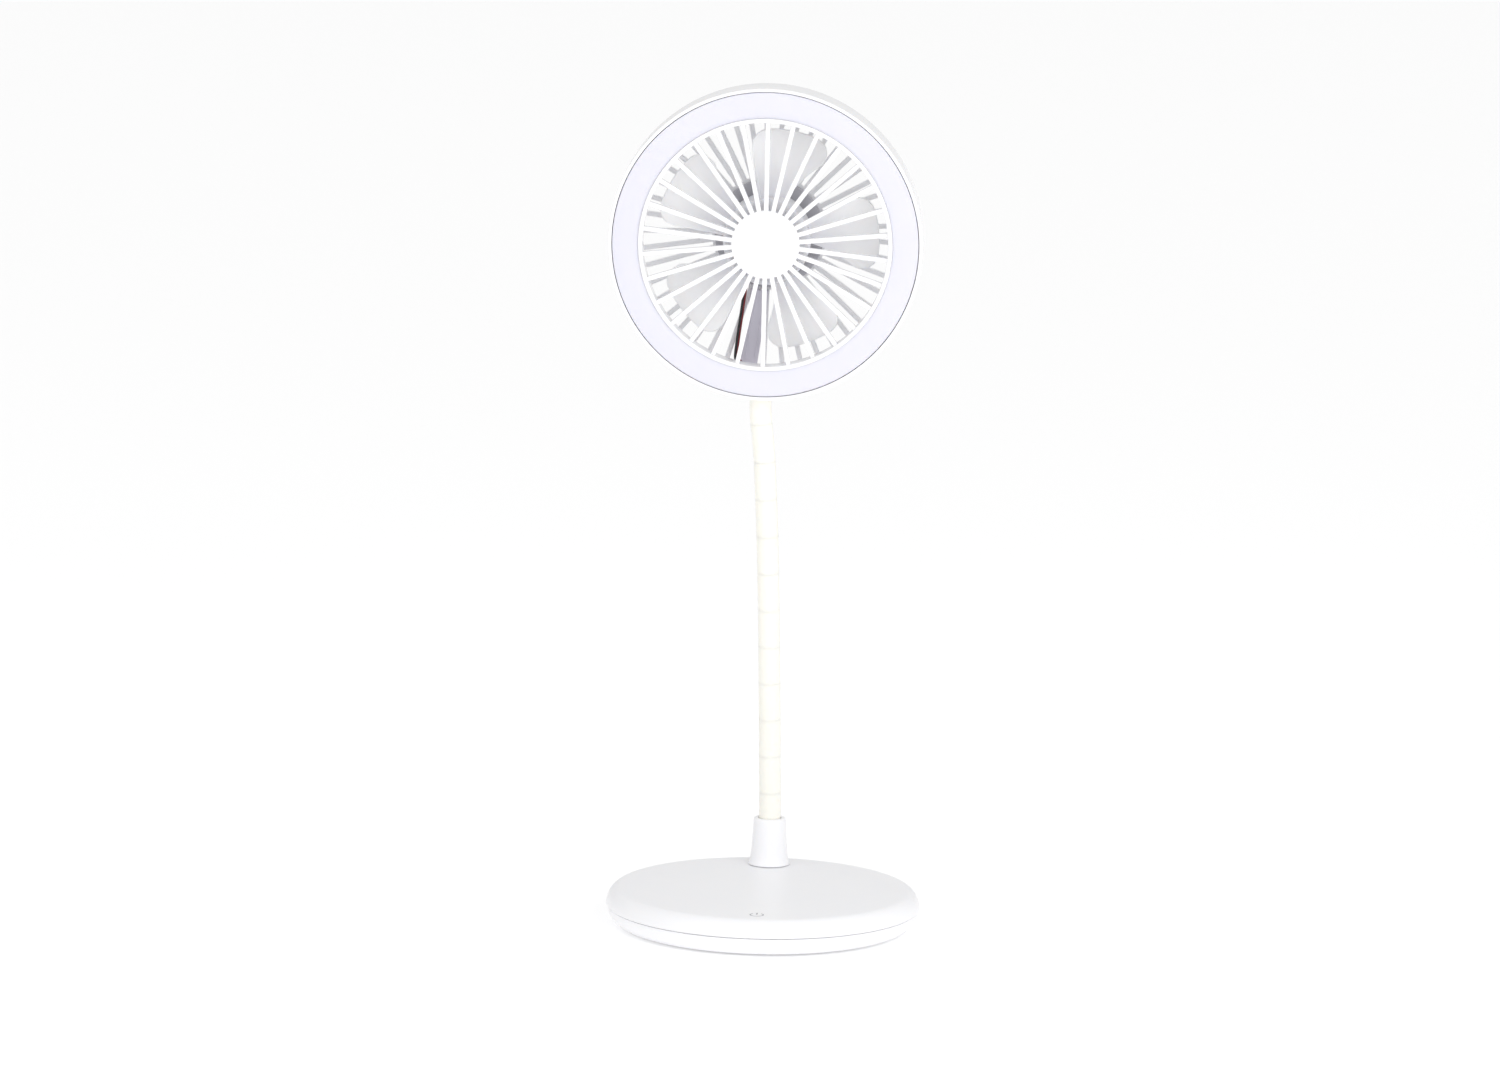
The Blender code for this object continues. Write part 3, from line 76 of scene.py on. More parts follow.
# How far a moulded edge is cut back, from a sharp mould line to a full round.
CRISP = 0.15 * MM
EASED = 0.2 * MM
BROKEN = 0.3 * MM
SOFT = 0.4 * MM
ROUNDED = 0.5 * MM
FULL = 0.6 * MM
# A round takes at most this share of a flat, and a flat that keeps more than the second
# share of that is held by points of its own.
FLAT_SHARE = 0.45
HELD_BELOW = 0.6
HOLD = 0.5
ON_AXIS = 1e-9

Point = tuple[float, float]
Corner = tuple[float, float, float]
Value = Union[float, int, bool, str, tuple, bpy.types.NodeSocket, bpy.types.Material]


# --------------------------------------------------------------------------- finishes


def linear(code: str) -> tuple[float, float, float, float]:
    """Turns an sRGB hex colour into Blender's linear one.

    Args:
        code: Six hex digits after a hash.

    Returns:
        Red, green, blue and alpha.
    """
    shares = [int(code[i : i + 2], 16) / 255 for i in (1, 3, 5)]
    red, green, blue = (s / 12.92 if s <= 0.04045 else ((s + 0.055) / 1.055) ** 2.4 for s in shares)
    return red, green, blue, 1.0


def per_mm(size: float) -> float:
    """The texture scale, per metre, of a pattern whose features are this many mm."""
    return 1.0 / (size * MM)


def add_node(
    tree: bpy.types.NodeTree,
    kind: str,
    inputs: Mapping[Union[str, int], Value] | None = None,
    **settings: object,
) -> bpy.types.Node:
    """Adds a node with its settings, constants and links.

    Args:
        tree: The tree that gets the node.
        kind: The node's type.
        inputs: Sockets to link and constants to set, by the input's name or number.
        **settings: The node's own settings.

    Returns:
        The new node.
    """
    node = tree.nodes.new(kind)
    for name, setting in settings.items():
        setattr(node, name, setting)
    for key, value in (inputs or {}).items():
        if isinstance(value, bpy.types.NodeSocket):
            tree.links.new(value, node.inputs[key])
        else:
            node.inputs[key].default_value = value
    return node


class Axis(Enum):
    """The way a lay or a grain runs."""

    NONE = (1.0, 1.0, 1.0)
    ALONG_X = (0.04, 1.0, 1.0)
    ALONG_Y = (1.0, 0.04, 1.0)
    ALONG_Z = (1.0, 1.0, 0.04)


@dataclass(frozen=True)
class Finish:
    """A real material and how it was made, as a Principled surface with a fine relief.

    Args:
        name: The material's name.
        colour: Its sRGB colour.
        shade: The sRGB colour that it drifts to over the piece.
        roughness: Its middle roughness.
        drift_mm: How wide the colour's drift is.
        grain_mm: The size of the fine relief.
        relief_mm: The depth of the fine relief.
        metallic: One for a metal.
        lay: The way the relief is drawn out.
        scatter: How much light goes into the surface.
        scatter_mm: How far that light spreads.
        ior: The index of refraction, for what isn't a metal.
        coat: How strong a clear layer lies over it.
        spread: How far roughness wanders from its middle.
    """

    name: str
    colour: str
    shade: str
    roughness: float
    drift_mm: float = 30.0
    grain_mm: float = 0.5
    relief_mm: float = 0.01
    metallic: float = 0.0
    lay: Axis = Axis.NONE
    scatter: float = 0.0
    scatter_mm: float = 1.0
    ior: float = 1.5
    coat: float = 0.0
    spread: float = 0.05

    def material(self) -> bpy.types.Material:
        """The finish as a material, made once."""
        known = bpy.data.materials.get(self.name)
        return known or self._make()

    def _make(self) -> bpy.types.Material:
        """Builds the material's nodes."""
        material = bpy.data.materials.new(self.name)
        material.use_nodes = True
        tree = material.node_tree
        tree.nodes.clear()
        place = add_node(tree, "ShaderNodeTexCoord").outputs["Object"]
        stretched = add_node(tree, "ShaderNodeMapping", {"Vector": place, "Scale": self.lay.value}).outputs[0]
        grain = add_node(
            tree,
            "ShaderNodeTexNoise",
            {"Vector": stretched, "Scale": per_mm(self.grain_mm), "Detail": 2.0, "Roughness": 0.6},
        ).outputs["Fac"]
        relief = add_node(tree, "ShaderNodeBump", {"Height": grain, "Distance": self.relief_mm * MM})
        surface: dict[Union[str, int], Value] = {
            "Base Color": self._colour(tree, place),
            "Roughness": self._gloss(tree, stretched),
            "Normal": relief.outputs[0],
            "Metallic": self.metallic,
            "Coat Weight": self.coat,
            "Subsurface Weight": self.scatter,
            "Subsurface Scale": self.scatter_mm * MM,
            "Subsurface Radius": (1.0, 0.9, 0.8),
        }
        if not self.metallic:
            surface["IOR"] = self.ior
        shader = add_node(tree, "ShaderNodeBsdfPrincipled", surface)
        add_node(tree, "ShaderNodeOutputMaterial", {"Surface": shader.outputs[0]})
        return material

    def _colour(self, tree: bpy.types.NodeTree, place: bpy.types.NodeSocket) -> bpy.types.NodeSocket:
        """The colour's slow drift over the piece.

        Args:
            tree: The material's tree.
            place: Object coordinates.

        Returns:
            The socket that holds the colour.
        """
        drift = add_node(
            tree, "ShaderNodeTexNoise", {"Vector": place, "Scale": per_mm(self.drift_mm), "Detail": 3.0}
        ).outputs["Fac"]
        colours = {"Factor": drift, "A": linear(self.colour), "B": linear(self.shade)}
        return mixed(tree, colours)

    def _gloss(self, tree: bpy.types.NodeTree, place: bpy.types.NodeSocket) -> bpy.types.NodeSocket:
        """Roughness that wanders a little, as handling and the mould leave it.

        Args:
            tree: The material's tree.
            place: The relief's coordinates.

        Returns:
            The socket that holds the roughness.
        """
        haze = add_node(
            tree, "ShaderNodeTexNoise", {"Vector": place, "Scale": per_mm(self.drift_mm / 4), "Detail": 4.0}
        ).outputs["Fac"]
        least, most = self.roughness - self.spread, self.roughness + self.spread
        limits = {"Value": haze, "To Min": least, "To Max": most}
        return add_node(tree, "ShaderNodeMapRange", limits).outputs[0]


def mixed(tree: bpy.types.NodeTree, inputs: Mapping[str, Value]) -> bpy.types.NodeSocket:
    """A colour between two others.

    Args:
        tree: The material's tree.
        inputs: The mix node's Factor, A and B.

    Returns:
        The mixed colour's socket.
    """
    numbers = {"Factor": 0, "A": 6, "B": 7}
    node = add_node(
        tree, "ShaderNodeMix", {numbers[name]: value for name, value in inputs.items()}, data_type="RGBA"
    )
    return node.outputs[2]


@dataclass(frozen=True)
class RadialFinish(Finish):
    """A moulding whose colour turns from one to the other away from an axis.

    Args:
        centre: A point on the axis.
        inner_mm: Where the inner colour ends.
        outer_mm: Where the outer colour starts.
        inner: The sRGB colour near the axis.
    """

    centre: tuple[float, float, float] = (0.0, 0.0, 0.0)
    inner_mm: float = 20.0
    outer_mm: float = 45.0
    inner: str = "#D0D0D6"

    def _colour(self, tree: bpy.types.NodeTree, place: bpy.types.NodeSocket) -> bpy.types.NodeSocket:
        """The colour by the distance from the axis, over the slow drift.

        Args:
            tree: The material's tree.
            place: Object coordinates.

        Returns:
            The socket that holds the colour.
        """
        outer = super()._colour(tree, place)
        back = tuple(-c for c in self.centre)
        moved = add_node(tree, "ShaderNodeMapping", {"Vector": place, "Location": back}).outputs[0]
        flat = add_node(
            tree, "ShaderNodeVectorMath", {0: moved, 1: (1.0, 0.0, 1.0)}, operation="MULTIPLY"
        ).outputs[0]
        away = add_node(tree, "ShaderNodeVectorMath", {0: flat}, operation="LENGTH").outputs["Value"]
        limits = {"Value": away, "From Min": self.inner_mm * MM, "From Max": self.outer_mm * MM}
        share = add_node(tree, "ShaderNodeMapRange", limits).outputs[0]
        return mixed(tree, {"Factor": share, "A": linear(self.inner), "B": outer})


@dataclass(frozen=True)
class CellularFinish(Finish):
    """A surface with a network of fine lines: copper tracks, a crinkled foil or pores.

    Args:
        line: The sRGB colour of the lines.
        cell_mm: How far apart the lines are.
        line_share: How much of a cell a line takes.
    """

    line: str = "#1E6B3C"
    cell_mm: float = 1.6
    line_share: float = 0.12

    def _colour(self, tree: bpy.types.NodeTree, place: bpy.types.NodeSocket) -> bpy.types.NodeSocket:
        """The lines over the slow drift.

        Args:
            tree: The material's tree.
            place: Object coordinates.

        Returns:
            The socket that holds the colour.
        """
        ground = super()._colour(tree, place)
        edge = add_node(
            tree,
            "ShaderNodeTexVoronoi",
            {"Vector": place, "Scale": per_mm(self.cell_mm)},
            feature="DISTANCE_TO_EDGE",
        ).outputs[0]
        limits = {"Value": edge, "From Min": self.line_share * 0.6, "From Max": self.line_share}
        share = add_node(tree, "ShaderNodeMapRange", limits).outputs[0]
        return mixed(tree, {"Factor": share, "A": linear(self.line), "B": ground})


# Injection-moulded ABS from a finely eroded mould: an even satin white, whose grain only
# softens the highlights.
WHITE_ABS = Finish(
    "moulded_white_abs", "#F9F9FB", "#F5F5F8", 0.34, grain_mm=0.45, relief_mm=0.006,
    scatter=0.15, scatter_mm=0.8, ior=1.53,
)
# The same ABS, polished in the mould where the front is seen: clean, nearly glossy rims.
POLISHED_ABS = Finish(
    "polished_white_abs", "#FCFCFD", "#F9F9FB", 0.22, grain_mm=0.8, relief_mm=0.003,
    scatter=0.15, scatter_mm=0.8, ior=1.53,
)
# Opal polycarbonate of the ring light: cool white, soft, with light going well into it.
OPAL_DIFFUSER = Finish(
    "moulded_opal_polycarbonate", "#E8E7F1", "#E4E3EF", 0.42, drift_mm=45.0, grain_mm=0.35,
    relief_mm=0.004, scatter=0.6, scatter_mm=2.5, ior=1.58,
)
# Silicone sleeve drawn over the steel gooseneck: a warm, dull ivory that takes a fine dust.
SILICONE = Finish(
    "extruded_ivory_silicone", "#FCFAF2", "#FAF7EC", 0.5, drift_mm=14.0, grain_mm=0.6,
    relief_mm=0.01, lay=Axis.ALONG_Z, scatter=0.35, scatter_mm=1.6, ior=1.43,
)
# Grey ABS of the motor's cradle, with the coarse grain of an unpolished mould.
GREY_ABS = Finish(
    "moulded_grey_abs", "#C2C1C7", "#B7B6BD", 0.48, grain_mm=0.5, relief_mm=0.015, ior=1.53,
)
# ABS of the wire cover, whose faintly lilac grey is painted shade: the shade inside the head, laid into its
# colour.
PAINTED_SHADE_ABS = Finish(
    "moulded_lilac_grey_abs", "#DEDBE6", "#D6D3DF", 0.4, grain_mm=0.45, relief_mm=0.008, ior=1.53,
)
# Zinc plate on drawn steel: bright, with faint drawing lines.
ZINC_STEEL = Finish(
    "zinc_plated_steel", "#C4C7CC", "#B4B8BF", 0.3, drift_mm=3.0, grain_mm=0.25,
    relief_mm=0.01, metallic=1.0, lay=Axis.ALONG_Y,
)
# Stacked electrical steel and ferrite: near black, dull, in fine layers.
DARK_IRON = Finish(
    "laminated_dark_iron", "#4A4A4D", "#3A3A3E", 0.55, drift_mm=4.0, grain_mm=0.35,
    relief_mm=0.03, metallic=1.0, lay=Axis.ALONG_X,
)
# Bronze powder pressed and sintered: a warm metal with open pores that hold oil.
SINTERED_BRONZE = CellularFinish(
    "sintered_bronze", "#B08A5A", "#9C7748", 0.45, grain_mm=0.12, relief_mm=0.02, metallic=1.0,
    line="#6E5230", cell_mm=0.25, line_share=0.05,
)
# Foamed rubber of the foot: pale grey and dull, with closed cells.
FOOT_RUBBER = CellularFinish(
    "foamed_grey_rubber", "#C2C2C6", "#B8B8BD", 0.85, grain_mm=0.4, relief_mm=0.05,
    line="#AEAEB4", cell_mm=0.7, line_share=0.1,
)
# Glass-epoxy board under a green solder mask: copper tracks show as lighter lines.
GREEN_BOARD = CellularFinish(
    "solder_masked_board", "#14532F", "#104828", 0.35, grain_mm=0.3, relief_mm=0.02, coat=0.3,
)
# Aluminium-backed board of the lights under white mask.
WHITE_BOARD = CellularFinish(
    "white_masked_board", "#F2F2EE", "#EBEBE6", 0.4, grain_mm=0.3, relief_mm=0.01,
    line="#DADAD4", cell_mm=2.4, line_share=0.06,
)
# Laminated foil of a pouch cell: silver, crinkled where it is folded.
CELL_FOIL = CellularFinish(
    "laminated_pouch_foil", "#C3C6CA", "#B4B7BD", 0.32, grain_mm=1.2, relief_mm=0.05,
    metallic=1.0, line="#D6D8DB", cell_mm=4.0, line_share=0.05,
)
# PVC drawn over copper strand, black and red.
BLACK_PVC = Finish(
    "drawn_black_pvc", "#1B1B1D", "#26262A", 0.4, drift_mm=6.0, grain_mm=0.3, relief_mm=0.01, ior=1.54,
)
RED_PVC = Finish(
    "drawn_red_pvc", "#8E2A2E", "#7C2226", 0.4, drift_mm=6.0, grain_mm=0.3, relief_mm=0.01, ior=1.54,
)
# Glass-filled black nylon of the socket's tongue and the motor's end.
BLACK_NYLON = Finish(
    "moulded_black_nylon", "#222225", "#2B2B2F", 0.45, grain_mm=0.3, relief_mm=0.015, ior=1.53,
)
# Gold flash on the socket's contacts.
GOLD_FLASH = Finish(
    "gold_flashed_contact", "#E2BE74", "#D8B266", 0.22, drift_mm=2.0, grain_mm=0.2, relief_mm=0.004,
    metallic=1.0, lay=Axis.ALONG_Y,
)
# Pad-printed ink: a flat mid grey with a slightly uneven edge-to-edge cover.
GREY_INK = Finish(
    "pad_printed_grey_ink", "#A9A9AE", "#B3B3B8", 0.5, drift_mm=1.5, grain_mm=0.3, relief_mm=0.004,
)


# ------------------------------------------------------------------------ mesh making


def softened(corners: Sequence[Corner], closed: bool, steps: int = 4) -> list[Point]:
    """Rounds the corners of a profile and holds the flats between them with extra points.

    Args:
        corners: Radius, height and how far each corner is cut back, all in metres.
        closed: Whether the last corner is joined to the first.
        steps: How many pieces a rounded corner has.

    Returns:
        The finer profile.
    """
    points = [Vector(corner[:2]) for corner in corners]
    last = len(points) - 1
    fine: list[Vector] = []
    for i, point in enumerate(points):
        if not closed and i in (0, last):
            fine.append(point)
            continue
        before, after = points[i - 1], points[(i + 1) % len(points)]
        room = FLAT_SHARE * min((before - point).length, (after - point).length)
        reach = min(corners[i][2], room)
        if reach <= 0.0:
            fine.append(point)
            continue
        start = point + (before - point).normalized() * reach
        end = point + (after - point).normalized() * reach
        if reach < HELD_BELOW * room:
            fine.append(start + (start - point) * HOLD)
        for step in range(steps + 1):
            share = step / steps
            fine.append(start * (1 - share) ** 2 + point * 2 * share * (1 - share) + end * share**2)
        if reach < HELD_BELOW * room:
            fine.append(end + (end - point) * HOLD)
    return [(p.x, p.y) for p in fine]


def elliptic(centre: Point, reach: Point, start: float, end: float, count: int) -> list[Corner]:
    """Corners along an elliptical arc.

    Args:
        centre: The arc's centre, as radius and height.
        reach: Its half-axes.
        start: The first angle in degrees.
        end: The last angle in degrees.
        count: How many pieces the arc has.

    Returns:
        The corners, none of them cut back.
    """
    turns = [math.radians(start + (end - start) * i / count) for i in range(count + 1)]
    return [(centre[0] + reach[0] * math.cos(t), centre[1] + reach[1] * math.sin(t), 0.0) for t in turns]


def turned(corners: Sequence[Corner], steps: int, start: float = 0.0) -> bpy.types.Mesh:
    """Turns a profile about the local Z axis.

    Args:
        corners: The profile. One that starts and ends on the axis makes a solid of
            revolution, and any other is closed into a ring.
        steps: How many facets go round.
        start: The first facet's angle.

    Returns:
        A closed mesh with its faces out.
    """
    closed = corners[0][0] > 0.0
    profile = softened(corners, closed)
    bm = bmesh.new()
    rows = []
    for radius, height in profile:
        if radius <= ON_AXIS:
            rows.append([bm.verts.new((0.0, 0.0, height))] * steps)
            continue
        angles = [start + math.tau * i / steps for i in range(steps)]
        rows.append([bm.verts.new((radius * math.cos(a), radius * math.sin(a), height)) for a in angles])
    pairs = list(zip(rows, rows[1:])) + ([(rows[-1], rows[0])] if closed else [])
    for upper, lower in pairs:
        for i in range(steps):
            j = (i + 1) % steps
            ring = list(dict.fromkeys((upper[i], upper[j], lower[j], lower[i])))
            bm.faces.new(ring)
    return finished(bm)


def finished(bm: bmesh.types.BMesh) -> bpy.types.Mesh:
    """The bmesh as a smooth mesh with its faces out, and the bmesh freed."""
    bmesh.ops.recalc_face_normals(bm, faces=bm.faces)
    mesh = bpy.data.meshes.new("shape")
    bm.to_mesh(mesh)
    bm.free()
    return smoothed(mesh)


def smoothed(mesh: bpy.types.Mesh) -> bpy.types.Mesh:
    """The same mesh, shaded smooth up to its real edges."""
    mesh.shade_smooth()
    mesh.set_sharp_from_angle(angle=SMOOTH_BELOW)
    return mesh


def block(size: Sequence[float], centre: Sequence[float], edge: float = 0.0) -> bpy.types.Mesh:
    """A block with rounded edges.

    Args:
        size: Its three sides.
        centre: Its middle.
        edge: How far its edges are rounded.

    Returns:
        A closed mesh.
    """
    bm = bmesh.new()
    place = Matrix.Translation(centre) @ Matrix.Diagonal((*size, 1.0))
    bmesh.ops.create_cube(bm, size=1.0, matrix=place)
    if edge:
        bmesh.ops.bevel(bm, geom=bm.edges[:], offset=edge, segments=3, profile=0.5, affect="EDGES")
    return finished(bm)


def post(place: Point, radius: float, top: float, bottom: float, steps: int = 48) -> bpy.types.Mesh:
    """An upright round post at a place."""
    mesh = turned([(0.0, top, 0.0), (radius, top, 0.0), (radius, bottom, 0.0), (0.0, bottom, 0.0)], steps)
    mesh.transform(Matrix.Translation((*place, 0.0)))
    return mesh


def evaluated(obj: bpy.types.Object) -> bpy.types.Mesh:
    """The object's mesh with its modifiers applied, and the object removed."""
    graph = bpy.context.evaluated_depsgraph_get()
    mesh = bpy.data.meshes.new_from_object(obj.evaluated_get(graph), depsgraph=graph)
    bpy.data.objects.remove(obj, do_unlink=True)
    return mesh


def shown(name: str, mesh: bpy.types.Mesh) -> bpy.types.Object:
    """A new object in the scene."""
    obj = bpy.data.objects.new(name, mesh)
    bpy.context.scene.collection.objects.link(obj)
    return obj


def worked(mesh: bpy.types.Mesh, tools: Iterable[bpy.types.Mesh], operation: str) -> bpy.types.Mesh:
    """Cuts the tools away from a mesh, or joins them to it.

    Args:
        mesh: The mesh to work on.
        tools: Closed meshes.
        operation: DIFFERENCE or UNION.

    Returns:
        The new mesh.
    """
    obj = shown("workpiece", mesh)
    helpers = []
    for tool in tools:
        helper = shown("tool", tool)
        helpers.append(helper)
        modifier = obj.modifiers.new("work", "BOOLEAN")
        modifier.operation = operation
        modifier.solver = "EXACT"
        modifier.object = helper
    result = evaluated(obj)
    for helper in helpers:
        bpy.data.objects.remove(helper, do_unlink=True)
    return smoothed(result)


def together(meshes: Iterable[bpy.types.Mesh]) -> bpy.types.Mesh:
    """Several meshes as one."""
    bm = bmesh.new()
    for mesh in meshes:
        bm.from_mesh(mesh)
    return finished(bm)


def line(points: Sequence[Sequence[float]]) -> bpy.types.Mesh:
    """A mesh that is only a line through points."""
    mesh = bpy.data.meshes.new("line")
    mesh.from_pydata([tuple(p) for p in points], [(i, i + 1) for i in range(len(points) - 1)], [])
    return mesh


# --------------------------------------------------------------------- geometry nodes


class Socket(Enum):
    """The kinds of input that a geometry tree has."""

    GEOMETRY = "NodeSocketGeometry"
    NUMBER = "NodeSocketFloat"
    COUNT = "NodeSocketInt"
    MATERIAL = "NodeSocketMaterial"
    OBJECT = "NodeSocketObject"


class GeometryTree:
    """A geometry node tree with named inputs, which ends in plain mesh and a material."""

    def __init__(self, name: str, inputs: Mapping[str, Socket]) -> None:
        """Starts the tree.

        Args:
            name: The tree's name.
            inputs: Its named inputs besides Geometry and Material.
        """
        self.tree = bpy.data.node_groups.new(name, "GeometryNodeTree")
        face = self.tree.interface
        face.new_socket("Geometry", in_out="OUTPUT", socket_type=Socket.GEOMETRY.value)
        for label, kind in {"Geometry": Socket.GEOMETRY, **inputs, "Material": Socket.MATERIAL}.items():
            face.new_socket(label, in_out="INPUT", socket_type=kind.value)
        self.given = add_node(self.tree, "NodeGroupInput").outputs

    def node(
        self, kind: str, inputs: Mapping[Union[str, int], Value] | None = None, **settings: object
    ) -> bpy.types.Node:
        """Adds a node to this tree."""
        return add_node(self.tree, kind, inputs, **settings)

    def close(self, geometry: bpy.types.NodeSocket) -> None:
        """Ends the tree with Realize Instances and Set Material."""
        plain = self.node("GeometryNodeRealizeInstances", {0: geometry}).outputs[0]
        finish = {"Geometry": plain, "Material": self.given["Material"]}
        dressed = self.node("GeometryNodeSetMaterial", finish).outputs[0]
        self.node("NodeGroupOutput", {0: dressed})

    def close_round_the_axis(self, piece: bpy.types.NodeSocket) -> None:
        """Ends the tree with copies of a piece round the local Z axis."""
        count = self.given["Count"]
        points = self.node("GeometryNodePoints", {"Count": count}).outputs[0]
        index = self.node("GeometryNodeInputIndex").outputs[0]
        pitch = self.node("ShaderNodeMath", {0: math.tau, 1: count}, operation="DIVIDE").outputs[0]
        terms = {0: index, 1: pitch, 2: self.given["First angle"]}
        angle = self.node("ShaderNodeMath", terms, operation="MULTIPLY_ADD").outputs[0]
        turn = self.node("ShaderNodeCombineXYZ", {"Z": angle}).outputs[0]
        copies = {"Points": points, "Instance": piece, "Rotation": turn}
        self.close(self.node("GeometryNodeInstanceOnPoints", copies).outputs[0])

    def grow(self, mesh: bpy.types.Mesh, finish: Finish, values: Mapping[str, Value]) -> bpy.types.Mesh:
        """Runs the tree on a mesh.

        Args:
            mesh: The geometry that goes in.
            finish: What the result is dressed in.
            values: The named inputs.

        Returns:
            The result as a plain mesh.
        """
        obj = shown("grown", mesh)
        modifier = obj.modifiers.new("tree", "NODES")
        modifier.node_group = self.tree
        wanted = {**values, "Material": finish.material()}
        for item in self.tree.interface.items_tree:
            if item.in_out == "INPUT" and item.name in wanted:
                modifier[item.identifier] = wanted[item.name]
        return evaluated(obj)


def ring_tree() -> GeometryTree:
    """Copies of a mesh round the local Z axis."""
    made = GeometryTree("copies_round_the_axis", {"Count": Socket.COUNT, "First angle": Socket.NUMBER})
    made.close_round_the_axis(made.given["Geometry"])
    return made


def tube_tree() -> GeometryTree:
    """A round tube along a line, closed at its ends."""
    made = GeometryTree("tube_along_a_line", {"Radius": Socket.NUMBER, "Sides": Socket.COUNT})
    given = made.given
    path = made.node("GeometryNodeMeshToCurve", {0: given["Geometry"]}).outputs[0]
    outline = made.node(
        "GeometryNodeCurvePrimitiveCircle", {"Resolution": given["Sides"], "Radius": given["Radius"]}
    ).outputs[0]
    tube = made.node("GeometryNodeCurveToMesh", {"Curve": path, "Profile Curve": outline, "Fill Caps": True})
    made.close(tube.outputs[0])
    return made


def bar_tree() -> GeometryTree:
    """Bars of a rounded oblong section, swept along a line and set round the axis."""
    sizes = dict.fromkeys(("First angle", "Width", "Thickness", "Edge"), Socket.NUMBER)
    made = GeometryTree("bars_round_the_axis", {"Count": Socket.COUNT, **sizes})
    given = made.given
    path = made.node("GeometryNodeMeshToCurve", {0: given["Geometry"]}).outputs[0]
    oblong = made.node(
        "GeometryNodeCurvePrimitiveQuadrilateral", {"Width": given["Width"], "Height": given["Thickness"]}
    ).outputs[0]
    outline = made.node(
        "GeometryNodeFilletCurve", {"Curve": oblong, "Radius": given["Edge"], "Count": 2}, mode="POLY"
    ).outputs[0]
    bar = made.node("GeometryNodeCurveToMesh", {"Curve": path, "Profile Curve": outline, "Fill Caps": True})
    made.close_round_the_axis(bar.outputs[0])
    return made


def place_tree() -> GeometryTree:
    """A copy of another object at each vertex."""
    made = GeometryTree("copies_at_places", {"Template": Socket.OBJECT})
    given = made.given
    template = made.node("GeometryNodeObjectInfo", {"Object": given["Template"], "As Instance": True})
    copies = made.node(
        "GeometryNodeInstanceOnPoints",
        {"Points": given["Geometry"], "Instance": template.outputs["Geometry"]},
    )
    made.close(copies.outputs[0])
    return made


# ---------------------------------------------------------------------------- fitting


@dataclass
class Workshop:
    """What every sub-assembly is made with."""

    ring: GeometryTree = field(default_factory=ring_tree)
    tube: GeometryTree = field(default_factory=tube_tree)
    bar: GeometryTree = field(default_factory=bar_tree)
    places: GeometryTree = field(default_factory=place_tree)

    def fit(
        self,
        name: str,
        mesh: bpy.types.Mesh,
        finish: Finish,
        body: str,
        slot: str,
        nodes: Sequence[str] = (),
        place: Matrix = UPRIGHT,
    ) -> None:
        """Puts a finished piece on its body.

        Args:
            name: The piece's name.
            mesh: Its mesh.
            finish: What it is made of.
            body: The body that it rides on.
            slot: Not used.
            nodes: The nodes that it stands for.
            place: Where its mesh goes.
        """
        mesh.transform(place)
        piece = self.dressed(name, mesh, finish)
        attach(piece, body)
        self._file(piece, nodes)

    def fit_between(
        self,
        name: str,
        mesh: bpy.types.Mesh,
        finish: Finish,
        bodies: tuple[str, str],
        ends: tuple[Vector, Vector],
        slot: str,
        nodes: Sequence[str],
    ) -> None:
        """Puts a piece in the world as it stands, on no body.

        Args:
            name: The piece's name.
            mesh: Its mesh, in place.
            finish: What it is made of.
            bodies: Not used.
            ends: Not used.
            slot: Not used.
            nodes: The nodes that it stands for.
        """
        piece = self.dressed(name, mesh, finish)
        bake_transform(piece)
        self._file(piece, nodes)

    def dressed(self, name: str, mesh: bpy.types.Mesh, finish: Finish) -> bpy.types.Object:
        """An object of that mesh in that finish alone."""
        mesh.materials.clear()
        mesh.materials.append(finish.material())
        return shown(name, mesh)

    def _file(self, piece: bpy.types.Object, nodes: Sequence[str]) -> None:
        """Hides the nodes that the piece stands for, and reports it."""
        if nodes:
            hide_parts(*nodes)
        LOG.info("%s: %d faces, for %s", piece.name, len(piece.data.polygons), ", ".join(nodes) or "nothing")


def middle_of(node: str) -> Vector:
    """The middle of a node's box."""
    low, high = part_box(node)
    return (low + high) / 2


def half_depth(node: str) -> float:
    """Half of a node's size from front to back."""
    low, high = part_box(node)
    return (high.y - low.y) / 2


def joint_points() -> list[Vector]:
    """The neck's joints from the base to the head."""
    return [Vector(j["pos_m"]) for j in frame["joints"] if not j.get("continuous")]


@dataclass
class CrossScrew:
    """A pan-head screw with a cross recess, head up, seated at height nought."""

    head_radius: float
    head_height: float
    shank_radius: float
    shank_length: float
    steps: int = 24
    round_share: float = 0.6
    root_share: float = 0.8
    pitch_share: float = 0.7
    slot_share: float = 0.28
    slot_reach: float = 1.15

    def mesh(self) -> bpy.types.Mesh:
        """The screw with its recess cut."""
        soft = self.head_height * self.round_share
        tip = self.shank_length - self.shank_radius
        corners = [
            (0.0, self.head_height, 0.0),
            (self.head_radius, self.head_height, soft),
            (self.head_radius, 0.0, soft / 5),
            (self.shank_radius, 0.0, 0.0),
            *self._thread(tip),
            (self.shank_radius * self.root_share, -tip, 0.0),
            (0.0, -self.shank_length, 0.0),
        ]
        long, wide = self.head_radius * self.slot_reach, self.head_radius * self.slot_share
        centre = (0.0, 0.0, self.head_height)
        cross = [block((*sides, self.head_height), centre) for sides in ((long, wide), (wide, long))]
        return worked(turned(corners, self.steps), cross, "DIFFERENCE")

    def _thread(self, tip: float) -> list[Corner]:
        """The thread's ridges down the shank."""
        pitch = self.shank_radius * self.pitch_share
        root = self.shank_radius * self.root_share
        ridges = int(tip / pitch) - 1
        corners: list[Corner] = []
        for i in range(max(0, ridges)):
            low = -pitch * (i + 1)
            corners += [(root, low, 0.0), (self.shank_radius, low - pitch / 2, 0.0)]
        return corners


# ------------------------------------------------------------------------------- base


